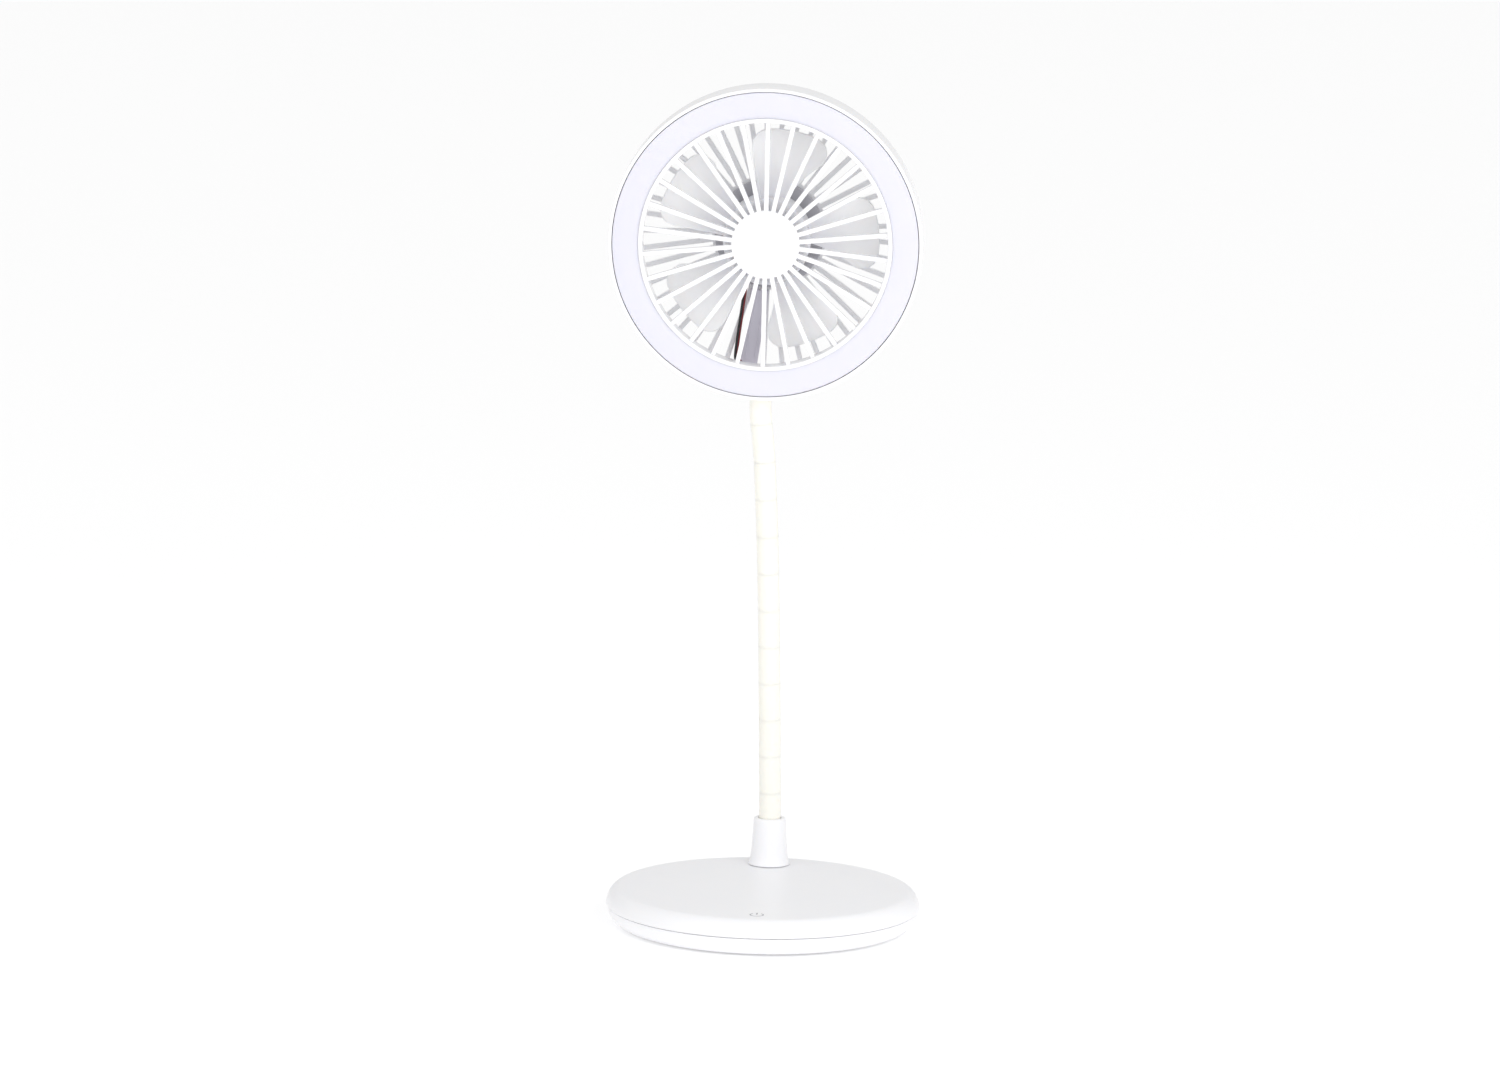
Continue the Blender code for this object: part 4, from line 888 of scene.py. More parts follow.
@dataclass
class Base:
    """The round foot: two shells, their seam, the foot pad, the key and the socket."""

    shop: Workshop
    steps: int = 160
    top_fillet: float = 6.0 * MM
    foot_inset: float = 8.1 * MM
    seam_step: float = 0.3 * MM
    wall: float = 1.8 * MM
    floor: float = 1.6 * MM
    lip_wall: float = 1.7 * MM
    lip_height: float = 1.8 * MM
    lip_gap: float = 0.3 * MM
    edge: float = 0.25 * MM
    hole_gap: float = 0.35 * MM
    boss_radius: float = 3.2 * MM
    grip_pitch: float = 4.0 * MM
    grip_depth: float = 0.25 * MM
    ring_radius: float = 2.9 * MM
    stroke: float = 0.62 * MM
    ink: float = 0.03 * MM
    ring_opening: float = math.radians(38)
    ring_steps: int = 40
    contact_count: int = 5
    contact_thickness: float = 0.12 * MM
    screw: CrossScrew = field(default_factory=lambda: CrossScrew(2.5 * MM, 1.2 * MM, 1.15 * MM, 7.0 * MM))

    def __post_init__(self) -> None:
        """Reads the base's heights and radius from the frame."""
        upper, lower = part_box("base_top_shell"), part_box("base_bottom_shell")
        self.radius = (upper[1].x - upper[0].x) / 2
        self.top = upper[1].z
        self.seam_high = self.seam_above()
        self.seam_low = lower[1].z - self.lip_height
        self.foot = lower[0].z
        self.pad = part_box("anti_slip_pad")
        self.screws = [middle_of(f"base_screw_{i}").xy for i in range(1, 5)]

    def seam_above(self) -> float:
        """The height of the upper shell's lower edge, which is just above the seam."""
        co = np.array([v.co for v in frame["nodes"]["base_top_shell"].data.vertices])
        away = np.hypot(co[:, 0], co[:, 1])
        return float(co[away > away.max() - self.wall / 2, 2].min())

    def build(self) -> None:
        """Builds the base's pieces."""
        self._upper_cover()
        self._lower_cover()
        self._foot_pad()
        self._power_symbol()
        self._screws()
        self._contacts()

    def _upper_cover(self) -> None:
        """The deck with its soft edge, the neck's hole and the screw bosses."""
        deck = self.radius - self.top_fillet
        foot = self.seam_high + self.seam_step
        ceiling = self.top - self.wall
        clear = self.seam_high + self.lip_height + self.lip_gap
        corners = [(0.0, self.top, 0.0)]
        corners += elliptic((deck, foot), (self.top_fillet, self.top - foot), 90, 0, 16)
        corners += [
            (self.radius - self.seam_step, self.seam_high, self.edge),
            (self.radius - self.wall, self.seam_high, 0.0),
        ]
        corners += elliptic((deck, clear), (self.top_fillet - self.wall, ceiling - clear), 0, 90, 6)
        corners.append((0.0, ceiling, 0.0))
        shell = turned(corners, self.steps)
        boss_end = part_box("base_screw_1")[0].z + self.floor
        bosses = [post(place, self.boss_radius, ceiling + self.wall / 3, boss_end) for place in self.screws]
        shell = worked(shell, bosses, "UNION")
        neck = middle_of("neck_collar").xy
        bore = half_depth("neck_lower_ferrule") + self.hole_gap
        hole = post(neck, bore, self.top + self.wall, ceiling - self.wall)
        pilot = self.screw.shank_radius
        pilots = [post(place, pilot, ceiling - self.wall, self.foot) for place in self.screws]
        shell = worked(shell, [hole, *pilots], "DIFFERENCE")
        self.shop.fit("upper_cover", shell, WHITE_ABS, "base", "white_abs", ["base_top_shell"])

    def _lower_cover(self) -> None:
        """The tray with its lip, the recess for the pad and the socket's slot."""
        outer = self.radius - 2 * self.seam_step
        lip = self.radius - self.wall - self.lip_gap
        inner = lip - self.lip_wall
        foot = self.radius - self.foot_inset
        recess = self.pad[1].x + self.lip_gap
        recess_top = self.pad[1].z + self.lip_gap
        floor_top = recess_top + self.floor
        lip_top = self.seam_low + self.lip_height
        corners = [(0.0, floor_top, 0.0)]
        corners += elliptic((foot, self.seam_low), (inner - foot, self.seam_low - floor_top), -90, 0, 6)
        corners += [
            (inner, lip_top, self.edge),
            (lip, lip_top, self.edge),
            (lip, self.seam_low, 0.0),
            (outer - self.edge, self.seam_low, 0.0),
        ]
        sweep = (outer - foot, self.seam_low - self.edge - self.foot)
        corners += elliptic((foot, self.seam_low - self.edge), sweep, 0, -90, 14)
        corners += [(recess, self.foot, self.edge), (recess, recess_top, 0.0), (0.0, recess_top, 0.0)]
        shell = turned(corners, self.steps)
        well = self.screw.head_radius + self.hole_gap
        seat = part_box("base_screw_1")[0].z + self.screw.head_height + self.lip_gap
        wells = [post(place, well, seat, self.foot) for place in self.screws]
        low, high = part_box("usb_inlet_shell")
        grow = Vector((self.hole_gap, 2 * self.wall, self.hole_gap))
        size = high - low + 2 * grow
        socket_slot = block(size, (low + high) / 2 + Vector((0.0, self.wall, 0.0)), edge=size.z / 3)
        shell = worked(shell, [*wells, socket_slot], "DIFFERENCE")
        self.shop.fit("lower_cover", shell, WHITE_ABS, "base", "white_abs", ["base_bottom_shell"])

    def _foot_pad(self) -> None:
        """The rubber disc, with rounded edges and moulded rings that grip."""
        radius, top, bottom = self.pad[1].x, self.pad[1].z, self.pad[0].z
        groove = self.grip_depth
        corners = [(0.0, top, 0.0), (radius, top, EASED), (radius, bottom, BROKEN)]
        for i in range(int(radius / self.grip_pitch) - 1):
            middle = radius - self.grip_pitch * (i + 1)
            corners += [
                (middle + 2 * groove, bottom, 0.0),
                (middle + groove, bottom + groove, 0.0),
                (middle - groove, bottom + groove, 0.0),
                (middle - 2 * groove, bottom, 0.0),
            ]
        corners.append((0.0, bottom, 0.0))
        mesh = turned(corners, self.steps)
        self.shop.fit("foot_pad", mesh, FOOT_RUBBER, "base", "pad_rubber", ["anti_slip_pad"])

    def _power_symbol(self) -> None:
        """The generic power symbol: an open ring and a bar, printed on the deck."""
        start, sweep = math.pi / 2 + self.ring_opening, math.tau - 2 * self.ring_opening
        angles = [start + sweep * i / self.ring_steps for i in range(self.ring_steps + 1)]
        arc = [(self.ring_radius * math.cos(a), self.ring_radius * math.sin(a), 0.0) for a in angles]
        bar = [(0.0, self.ring_radius * share, 0.0) for share in (0.15, 1.25)]
        sizes = {
            "Count": 1,
            "First angle": 0.0,
            "Width": self.stroke,
            "Thickness": 2 * self.ink,
            "Edge": self.ink / 2,
        }
        mesh = together([self.shop.bar.grow(line(path), GREY_INK, sizes) for path in (arc, bar)])
        mesh.transform(Matrix.Translation((0.0, middle_of("touch_board").y, self.top)))
        self.shop.fit("power_symbol", mesh, GREY_INK, "base", "grey_mount")

    def _screws(self) -> None:
        """The four screws under the pad, heads down."""
        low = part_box("base_screw_1")[0].z
        template = self.screw.mesh()
        template.transform(Matrix.Rotation(math.pi, 4, "X"))
        seats = [(*place, low + self.screw.head_height) for place in self.screws]
        mesh = set_at(self.shop, template, seats, ZINC_STEEL)
        nodes = [f"base_screw_{i}" for i in range(1, 5)]
        self.shop.fit("base_screws", mesh, ZINC_STEEL, "base", "zinc_steel", nodes)

    def _contacts(self) -> None:
        """The five gold contacts on the socket's tongue."""
        low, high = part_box("usb_inlet_tongue")
        pitch = (high.x - low.x) / (self.contact_count + 1)
        size = (pitch / 2, (high.y - low.y) * 0.8, self.contact_thickness)
        template = block(size, (0.0, 0.0, 0.0), edge=self.contact_thickness / 4)
        middle = (low.y + high.y) / 2
        places = [(low.x + pitch * (i + 1), middle, high.z) for i in range(self.contact_count)]
        mesh = set_at(self.shop, template, places, GOLD_FLASH)
        self.shop.fit("socket_contacts", mesh, GOLD_FLASH, "base", "sintered_bronze")


def set_at(
    shop: Workshop, template: bpy.types.Mesh, places: Sequence[Sequence[float]], finish: Finish
) -> bpy.types.Mesh:
    """Copies of a mesh at places.

    Args:
        shop: The workshop, whose tree sets the copies.
        template: The mesh that is copied.
        places: Where its origin goes.
        finish: What the copies are made of.

    Returns:
        All the copies as one mesh.
    """
    pattern = shown("pattern", template)
    spots = bpy.data.meshes.new("spots")
    spots.from_pydata([tuple(p) for p in places], [], [])
    mesh = shop.places.grow(spots, finish, {"Template": pattern})
    bpy.data.objects.remove(pattern, do_unlink=True)
    return mesh


# ------------------------------------------------------------------------------- neck


@dataclass
class Neck:
    """The collar, the silicone sleeve over the gooseneck, and its threaded end."""

    shop: Workshop
    edge: float = 1.1 * MM
    lip: float = 0.25 * MM
    step: float = 0.1 * MM
    taper: float = 2.1 * MM
    bore_gap: float = 0.35 * MM
    sides: int = 48
    rings: int = 14
    thread_pitch: float = 0.75 * MM
    thread_share: float = 0.4
    flare_share: float = 0.4
    flare_power: int = 6
    mouth: float = 4.0 * MM

    def __post_init__(self) -> None:
        """Reads the sleeve's radius from the frame."""
        self.radius = half_depth("neck_lower_ferrule")

    def build(self) -> None:
        """Builds the neck's pieces."""
        self._collar()
        self._stud()
        self._sleeve()

    def _collar(self) -> None:
        """The tapered collar, flared where it meets the deck."""
        low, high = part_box("neck_collar")
        foot = (high.x - low.x) / 2
        tall = high.z - low.z
        crown = foot - self.taper
        bore = self.radius + self.bore_gap
        flare = []
        for share in (0.2, 0.4, 0.6, 0.75, 0.85, 0.92, 0.96):
            spread = (1 - self.flare_share) * share + self.flare_share * share**self.flare_power
            flare.append((crown + self.taper * spread, high.z - self.edge - (tall - self.edge) * share, 0.0))
        corners = [
            (bore, high.z, self.lip),
            (crown, high.z, self.edge),
            *flare,
            (foot, low.z + self.step, 0.0),
            (foot, low.z, 0.0),
            (bore, low.z, 0.0),
        ]
        mesh = turned(corners, 96)
        mesh.transform(Matrix.Translation((*middle_of("neck_collar").xy, 0.0)))
        self.shop.fit("collar", mesh, WHITE_ABS, "base", "white_abs", ["neck_collar"])

    def _stud(self) -> None:
        """The steel stud below the sleeve, threaded for its nut."""
        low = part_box("neck_lower_ferrule")[0]
        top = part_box("neck_collar")[0].z
        root = self.radius - self.thread_pitch * self.thread_share
        corners = [(0.0, top, 0.0), (self.radius, top, 0.0)]
        for i in range(int((top - low.z) / self.thread_pitch)):
            level = top - self.thread_pitch * (i + 0.5)
            corners += [(root, level, 0.0), (self.radius, level - self.thread_pitch / 2, 0.0)]
        corners += [(root, low.z, 0.0), (0.0, low.z, 0.0)]
        mesh = turned(corners, 48)
        mesh.transform(Matrix.Translation((*middle_of("neck_lower_ferrule").xy, 0.0)))
        self.shop.fit("neck_stud", mesh, ZINC_STEEL, "base", "zinc_steel", ["neck_lower_ferrule"])

    def _sleeve(self) -> None:
        """The sleeve in one length for each joint, cut halfway along each link."""
        joints = joint_points()
        bodies = ["base", *(f"link_{i:02d}" for i in range(1, len(joints))), "head"]
        foot = Vector((joints[0].x, joints[0].y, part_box("neck_collar")[0].z))
        collar_top = Vector((joints[0].x, joints[0].y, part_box("neck_collar")[1].z))
        up = head_frame().matrix.to_3x3() @ Vector((0.0, 1.0, 0.0))
        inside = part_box("neck_upper_ferrule")[1].z
        end = joints[-1] + up * (inside - joints[-1].z)
        entry = joints[-1] + up * self.mouth
        route = [foot, collar_top, *joints, entry, end]
        curve = Route(route)
        cuts = [foot, *((a + b) / 2 for a, b in zip(joints, joints[1:])), end]
        for i, (start, stop) in enumerate(zip(cuts, cuts[1:]), start=1):
            path = curve.between(start.z, stop.z, self.rings)
            mesh = self.shop.tube.grow(line(path), SILICONE, {"Radius": self.radius, "Sides": self.sides})
            bend = (collar_top if i == 1 else start, entry if i == len(joints) else stop)
            nodes = [f"neck_link_{i:02d}"] if i < len(joints) else ["neck_upper_ferrule"]
            self.shop.fit_between(
                f"sleeve_{i:02d}", smoothed(mesh), SILICONE, (bodies[i - 1], bodies[i]), bend,
                "silicone_sleeve", nodes,
            )


@dataclass
class Route:
    """A smooth curve through points whose heights rise."""

    points: Sequence[Vector]

    def at(self, height: float) -> Vector:
        """The curve's point at a height, by a natural cubic through the points."""
        heights = np.array([p.z for p in self.points])
        across = [_cubic(heights, np.array([p[k] for p in self.points]), height) for k in (0, 1)]
        return Vector((across[0], across[1], height))

    def between(self, low: float, high: float, count: int) -> list[Vector]:
        """Evenly spaced points of the curve from one height to another."""
        return [self.at(low + (high - low) * i / count) for i in range(count + 1)]


def _cubic(x: np.ndarray, y: np.ndarray, at: float) -> float:
    """Value at a place of the natural cubic spline through points.

    Args:
        x: The places, rising.
        y: The values there.
        at: The place asked for.

    Returns:
        The spline's value.
    """
    gaps = np.diff(x)
    slopes = np.diff(y) / gaps
    size = len(x)
    system = np.eye(size)
    right = np.zeros(size)
    for i in range(1, size - 1):
        system[i, i - 1 : i + 2] = gaps[i - 1], 2 * (gaps[i - 1] + gaps[i]), gaps[i]
        right[i] = 6 * (slopes[i] - slopes[i - 1])
    bend = np.linalg.solve(system, right)
    k = int(np.clip(np.searchsorted(x, at) - 1, 0, size - 2))
    gap, before, after = gaps[k], at - x[k], x[k + 1] - at
    curved = (bend[k] * after**3 + bend[k + 1] * before**3) / (6 * gap)
    straight = (y[k] / gap - bend[k] * gap / 6) * after + (y[k + 1] / gap - bend[k + 1] * gap / 6) * before
    return float(curved + straight)


# ------------------------------------------------------------------------------- head


@dataclass
class HeadFrame:
    """The head's own frame: origin on the fan's axis at the front plane."""

    roll: float = math.radians(1.0)
    rim_proud: float = 0.45 * MM

    def __post_init__(self) -> None:
        """Sets the frame on the rotor's joint and the housing's front."""
        spin = next(Vector(j["pos_m"]) for j in frame["joints"] if j.get("continuous"))
        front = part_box("front_housing")[0].y + self.rim_proud
        turn = Matrix.Rotation(self.roll, 4, "Y") @ Matrix.Rotation(math.pi / 2, 4, "X")
        self.matrix = Matrix.Translation((spin.x, front, spin.z)) @ turn
        self.inverse = self.matrix.inverted()

    def depths(self, node: str) -> tuple[float, float]:
        """How far behind the front plane a node starts and ends."""
        low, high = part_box(node)
        front = self.matrix.translation.y
        return low.y - front, high.y - front

    def radius(self, node: str) -> float:
        """The farthest that a node's vertices lie from the fan's axis."""
        places = [self.inverse @ v.co for v in frame["nodes"][node].data.vertices]
        return max(place.xy.length for place in places)

    def place_of(self, node: str) -> Point:
        """The middle of a node, across the fan's axis."""
        return tuple((self.inverse @ middle_of(node)).xy)


@cache
def head_frame() -> HeadFrame:
    """The one head frame."""
    return HeadFrame()


@dataclass
class FrontEnd:
    """The housing with its bright rim, the ring light and the front grille."""

    shop: Workshop
    steps: int = 180
    rim_wall: float = 1.55 * MM
    rim_inner_edge: float = 0.55 * MM
    rim_outer_edge: float = 0.9 * MM
    wall: float = 2.0 * MM
    trough_depth: float = 6.2 * MM
    trough_floor: float = 1.5 * MM
    duct_wall: float = 1.4 * MM
    duct_short: float = 4.0 * MM
    gap: float = 0.3 * MM
    slip: float = 0.35 * MM
    boss_radius: float = 2.3 * MM
    light_seat: float = 0.05 * MM
    light_edge: float = 0.15 * MM
    light_thickness: float = 1.8 * MM
    light_crown: float = 0.25 * MM
    skirt: float = 1.2 * MM
    skirt_drop: float = 1.6 * MM
    ring_width: float = 1.9 * MM
    spoke_count: int = 30
    spoke_width: float = 2.0 * MM
    spoke_front: float = 1.0 * MM
    spoke_thickness: float = 3.0 * MM
    spoke_phase: float = math.radians(0.9)
    hub_radius: float = 15.2 * MM
    hub_crown: float = 0.5 * MM
    hub_lift: float = 0.3 * MM
    hub_short: float = 0.6 * MM
    spoke_root: float = 0.7 * MM
    spoke_edge: float = 0.35 * MM
    pilot_share: float = 0.46
    pilot_start: float = 0.6

    def __post_init__(self) -> None:
        """Reads the front's radii and depths from the frame."""
        self.head = head_frame()
        self.radius = self.head.radius("front_housing")
        self.back = self.head.depths("front_housing")[1]
        self.light_radius = self.head.radius("light_diffuser")
        self.grille_radius = self.head.radius("front_grille")

    def build(self) -> None:
        """Builds the front's pieces."""
        self._housing()
        self._diffuser()
        self._grille()

    def _housing(self) -> None:
        """The rim, the light's trough, the duct wall, the bosses and the neck's hole."""
        rim = self.radius - self.rim_wall
        inner = self.radius - self.wall
        trough = self.grille_radius + self.slip
        duct = trough + self.duct_wall
        floor_back = -self.trough_depth - self.trough_floor
        duct_end = -self.back + self.duct_short
        shelf = -self.light_thickness - self.gap
        proud = self.head.rim_proud
        corners = [
            (rim, proud, self.rim_inner_edge),
            (self.radius, proud, self.rim_outer_edge),
            (self.radius, -self.back, ROUNDED),
            (inner, -self.back, EASED),
            (inner, floor_back, SOFT),
            (duct, floor_back, SOFT),
            (duct, duct_end, EASED),
            (trough, duct_end, EASED),
            (trough, shelf, CRISP),
            (duct, shelf, CRISP),
            (duct, -self.trough_depth, EASED),
            (rim, -self.trough_depth, EASED),
        ]
        shell = turned(corners, self.steps)
        places = [self.head.place_of(f"housing_screw_{i}") for i in range(1, 5)]
        root = floor_back + self.trough_floor / 3
        shell = worked(shell, [post(p, self.boss_radius, root, -self.back) for p in places], "UNION")
        bore = half_depth("neck_upper_ferrule") + self.slip
        hole = post((0.0, 0.0), bore, self.wall * 3, -self.wall * 3, 64)
        stem = self.head.inverse @ middle_of("neck_upper_ferrule")
        lying = Matrix.Translation((stem.x, -self.radius, stem.z)) @ Matrix.Rotation(math.pi / 2, 4, "X")
        hole.transform(lying)
        pilot, start = self.boss_radius * self.pilot_share, -self.back * self.pilot_start
        pilots = [post(p, pilot, start, -self.back - self.gap, 16) for p in places]
        shell = worked(shell, [hole, *pilots], "DIFFERENCE")
        self.shop.fit(
            "housing", shell, POLISHED_ABS, "head", "white_abs", ["front_housing"], self.head.matrix
        )

    def _diffuser(self) -> None:
        """The crowned opal ring with its skirt inside the rim."""
        inner = self.grille_radius + self.light_seat
        half = (self.light_radius - inner) / 2
        skirt = self.light_radius - self.skirt
        end = -self.light_thickness - self.skirt_drop
        crown = [
            (inner + half * (1 + share), self.light_crown * (1 - share * share), 0.0)
            for share in (-0.8, -0.6, -0.4, -0.2, 0.0, 0.2, 0.4, 0.6, 0.8)
        ]
        corners = [
            (inner, 0.0, self.light_edge),
            *crown,
            (self.light_radius, 0.0, SOFT),
            (self.light_radius, end, EASED),
            (skirt, end, EASED),
            (skirt, -self.light_thickness, EASED),
            (inner, -self.light_thickness, EASED),
        ]
        mesh = turned(corners, self.steps)
        self.shop.fit(
            "ring_light", mesh, OPAL_DIFFUSER, "head", "milky_diffuser", ["light_diffuser"], self.head.matrix
        )

    def _grille(self) -> None:
        """The raised ring, the plain hub and the straight spokes, in one moulding."""
        front, back = self.head.depths("front_grille")
        opening = self.grille_radius - self.ring_width
        ring = turned(
            [
                (opening, -front, FULL),
                (self.grille_radius, -front, FULL),
                (self.grille_radius, -back, EASED),
                (opening, -back, BROKEN),
            ],
            self.steps,
        )
        spokes_back = -self.spoke_front - self.spoke_thickness
        hub_front = -self.spoke_front + self.hub_lift
        hub_back = spokes_back + self.hub_short
        crown = [
            (self.hub_radius * share, hub_front + self.hub_crown * (1 - share**4), 0.0)
            for share in (0.25, 0.5, 0.7, 0.82, 0.92)
        ]
        hub = turned(
            [
                (0.0, hub_front + self.hub_crown, 0.0),
                *crown,
                (self.hub_radius, hub_front, ROUNDED),
                (self.hub_radius, hub_back, BROKEN),
                (0.0, hub_back, 0.0),
            ],
            120,
        )
        middle = -self.spoke_front - self.spoke_thickness / 2
        ends = (self.hub_radius - self.spoke_root, opening + self.ring_width / 2)
        path = line([(radius, 0.0, middle) for radius in ends])
        sizes = {
            "Count": self.spoke_count,
            "First angle": math.pi / 2 + self.spoke_phase,
            "Width": self.spoke_width,
            "Thickness": self.spoke_thickness,
            "Edge": self.spoke_edge,
        }
        spokes = self.shop.bar.grow(path, POLISHED_ABS, sizes)
        mesh = worked(ring, [hub, spokes], "UNION")
        self.shop.fit(
            "spoke_grille", mesh, POLISHED_ABS, "head", "white_abs", ["front_grille"], self.head.matrix
        )


@dataclass
class RearEnd:
    """The slotted bowl behind the fan, its wire cover and its screws."""

    shop: Workshop
    steps: int = 180
    wall: float = 2.2 * MM
    corner: float = 12.0 * MM
    corner_depth: float = 11.7 * MM
    inset: float = 2.0 * MM
    flange_thickness: float = 2.0 * MM
    flange_width: float = 8.1 * MM
    rib_count: int = 45
    rib_width: float = 2.2 * MM
    rib_phase: float = math.radians(5.6)
    rib_root: float = 0.9 * MM
    hub_radius: float = 26.0 * MM
    slip: float = 0.35 * MM
    duct_skin: float = 0.9 * MM
    duct_size: Point = (8.0 * MM, 3.0 * MM)
    duct_edge: float = 0.5 * MM
    ridge_width: float = 0.5 * MM
    ridge_sides: Point = (-0.22, 0.3)
    rib_edge: float = 0.4 * MM
    rib_overlap: float = 0.5 * MM
    groove_inset: float = 5.0 * MM
    groove_depth: float = 0.4 * MM
    groove_halves: Point = (0.5 * MM, 0.3 * MM)
    hub_edge: float = 0.9 * MM
    housing_screw: tuple[float, float, float] = (2.0 * MM, 1.3 * MM, 0.95 * MM)
    mount_screw: tuple[float, float, float] = (2.0 * MM, 1.0 * MM, 0.85 * MM)
    clamp_screw: tuple[float, float, float] = (1.7 * MM, 1.0 * MM, 0.75 * MM)

    def __post_init__(self) -> None:
        """Reads the bowl's radii and depths from the frame."""
        self.head = head_frame()
        self.front, self.back = self.head.depths("rear_grille")
        self.flange_radius = self.head.radius("rear_grille")
        self.radius = self.head.radius("front_housing") - self.inset
        self.flat = self.radius - self.corner

    def build(self) -> None:
        """Builds the rear's pieces."""
        self._bowl()
        self._wire_cover()
        self._screws("housing_screws", "housing_screw", 4, self.housing_screw)
        self._screws("mount_screws", "motor_mount_screw", 3, self.mount_screw)
        self._screws("clamp_screws", "neck_clamp_screw", 2, self.clamp_screw)

    def _bowl(self) -> None:
        """The flange, the hub and the ribs that wrap round the corner between them."""
        flange_back = -self.front - self.flange_thickness
        inner = self.flange_radius - self.flange_width
        root = flange_back - self.rib_root
        flange = turned(
            [
                (inner, -self.front, BROKEN),
                (self.flange_radius, -self.front, BROKEN),
                (self.flange_radius, flange_back, FULL),
                (self.radius, flange_back, EASED),
                (self.radius, root, SOFT),
                (self.radius - self.wall, root, SOFT),
                (self.radius - self.wall, flange_back, EASED),
                (inner, flange_back, ROUNDED),
            ],
            self.steps,
        )
        inside = -self.back + self.wall
        groove = self.hub_radius - self.groove_inset
        floor = self.groove_depth - self.back
        wide, narrow = self.groove_halves
        hub = turned(
            [
                (0.0, inside, 0.0),
                (self.hub_radius, inside, BROKEN),
                (self.hub_radius, -self.back, self.hub_edge),
                (groove + wide, -self.back, CRISP),
                (groove + narrow, floor, EASED / 2),
                (groove - narrow, floor, EASED / 2),
                (groove - wide, -self.back, CRISP),
                (0.0, -self.back, 0.0),
            ],
            144,
        )
        mesh = worked(flange, [hub, self._ribs(root)], "UNION")
        holes = []
        for stem, count, screw in (
            ("housing_screw", 4, self.housing_screw),
            ("motor_mount_screw", 3, self.mount_screw),
        ):
            for i in range(1, count + 1):
                place = self.head.place_of(f"{stem}_{i}")
                holes.append(post(place, screw[2] + self.slip, 0.0, -self.back - self.wall, 24))
        mesh = worked(mesh, holes, "DIFFERENCE")
        self.shop.fit("rib_bowl", mesh, WHITE_ABS, "head", "white_abs", ["rear_grille"], self.head.matrix)

    def _ribs(self, root: float) -> bpy.types.Mesh:
        """The ribs on their line: out along the back, round the corner, and forward."""
        middle = -self.back + self.wall / 2
        centre = (self.flat, -self.back + self.corner_depth)
        reach = (self.corner - self.wall / 2, self.corner_depth - self.wall / 2)
        bend = elliptic(centre, reach, -90, 0, 12)
        points = [(self.hub_radius - 2 * self.rib_overlap, 0.0, middle), *((r, 0.0, z) for r, z, _ in bend)]
        points.append((self.radius - self.wall / 2, 0.0, root + self.rib_overlap))
        sizes = {
            "Count": self.rib_count,
            "First angle": self.rib_phase,
            "Width": self.rib_width,
            "Thickness": self.wall,
            "Edge": self.rib_edge,
        }
        return self.shop.bar.grow(line(points), WHITE_ABS, sizes)

    def _wire_cover(self) -> None:
        """The channel over the wires: out along the ribs and forward round the corner."""
        x, y = self.head.place_of("wire_duct")
        width, height = self.duct_size
        inside = -self.head.depths("wire_duct")[1]
        centre = (self.flat, -self.back + self.corner_depth)
        fall = centre[1] - inside
        bend = elliptic(centre, (fall - height / 2, fall - height / 2), -90, -15, 10)
        path = [(self.hub_radius, 0.0, inside + height / 2), *((r, 0.0, z) for r, z, _ in bend)]
        turn = math.atan2(y, x)
        sizes = {"Count": 1, "First angle": turn, "Width": width, "Thickness": height, "Edge": self.duct_edge}
        # The cover's lilac grey is painted shade for the shade inside the head.
        cover = self.shop.bar.grow(line(path), PAINTED_SHADE_ABS, sizes)
        sunk = inside + height / 2 - self.duct_skin
        channel = line([(radius, 0.0, sunk) for radius in (self.hub_radius - height, self.flat)])
        inner = {**sizes, "Width": width - 2 * self.duct_skin, "Edge": EASED}
        mesh = worked(cover, [self.shop.bar.grow(channel, PAINTED_SHADE_ABS, inner)], "DIFFERENCE")
        mesh = together([mesh, *(self._ridge(path, turn, side) for side in self.ridge_sides)])
        self.shop.fit("wire_cover", mesh, PAINTED_SHADE_ABS, "head", "white_abs", ["wire_duct"], self.head.matrix)

    def _ridge(self, path: Sequence[Sequence[float]], turn: float, side: float) -> bpy.types.Mesh:
        """A low ridge along the cover's face.

        Args:
            path: The cover's middle line before it is turned.
            turn: The cover's turn about the fan's axis.
            side: How far aside the ridge lies, as a share of the cover's width.

        Returns:
            The ridge.
        """
        width, height = self.duct_size
        straight = [(r, 0.0, z + height / 2) for r, _, z in path[:2]]
        sizes = {
            "Count": 1,
            "First angle": 0.0,
            "Width": self.ridge_width,
            "Thickness": self.ridge_width,
            "Edge": CRISP,
        }
        # The ridge takes the cover's painted shade, a lilac grey for the shade inside the head.
        ridge = self.shop.bar.grow(line(straight), PAINTED_SHADE_ABS, sizes)
        ridge.transform(Matrix.Rotation(turn, 4, "Z") @ Matrix.Translation((0.0, width * side, 0.0)))
        return ridge

    def _screws(self, name: str, stem: str, count: int, sizes: tuple[float, float, float]) -> None:
        """One group of screws, driven from behind.

        Args:
            name: The piece's name.
            stem: The start of its nodes' names.
            count: How many screws there are.
            sizes: A screw's head radius, head height and shank radius.
        """
        nodes = [f"{stem}_{i}" for i in range(1, count + 1)]
        front, back = self.head.depths(nodes[0])
        head_height = sizes[1]
        template = CrossScrew(*sizes, back - front - head_height).mesh()
        template.transform(Matrix.Rotation(math.pi, 4, "X"))
        seats = [(*self.head.place_of(node), -back + head_height) for node in nodes]
        mesh = set_at(self.shop, template, seats, ZINC_STEEL)
        self.shop.fit(name, mesh, ZINC_STEEL, "head", "zinc_steel", nodes, self.head.matrix)


# ----------------------------------------------------------------------- motor and fan


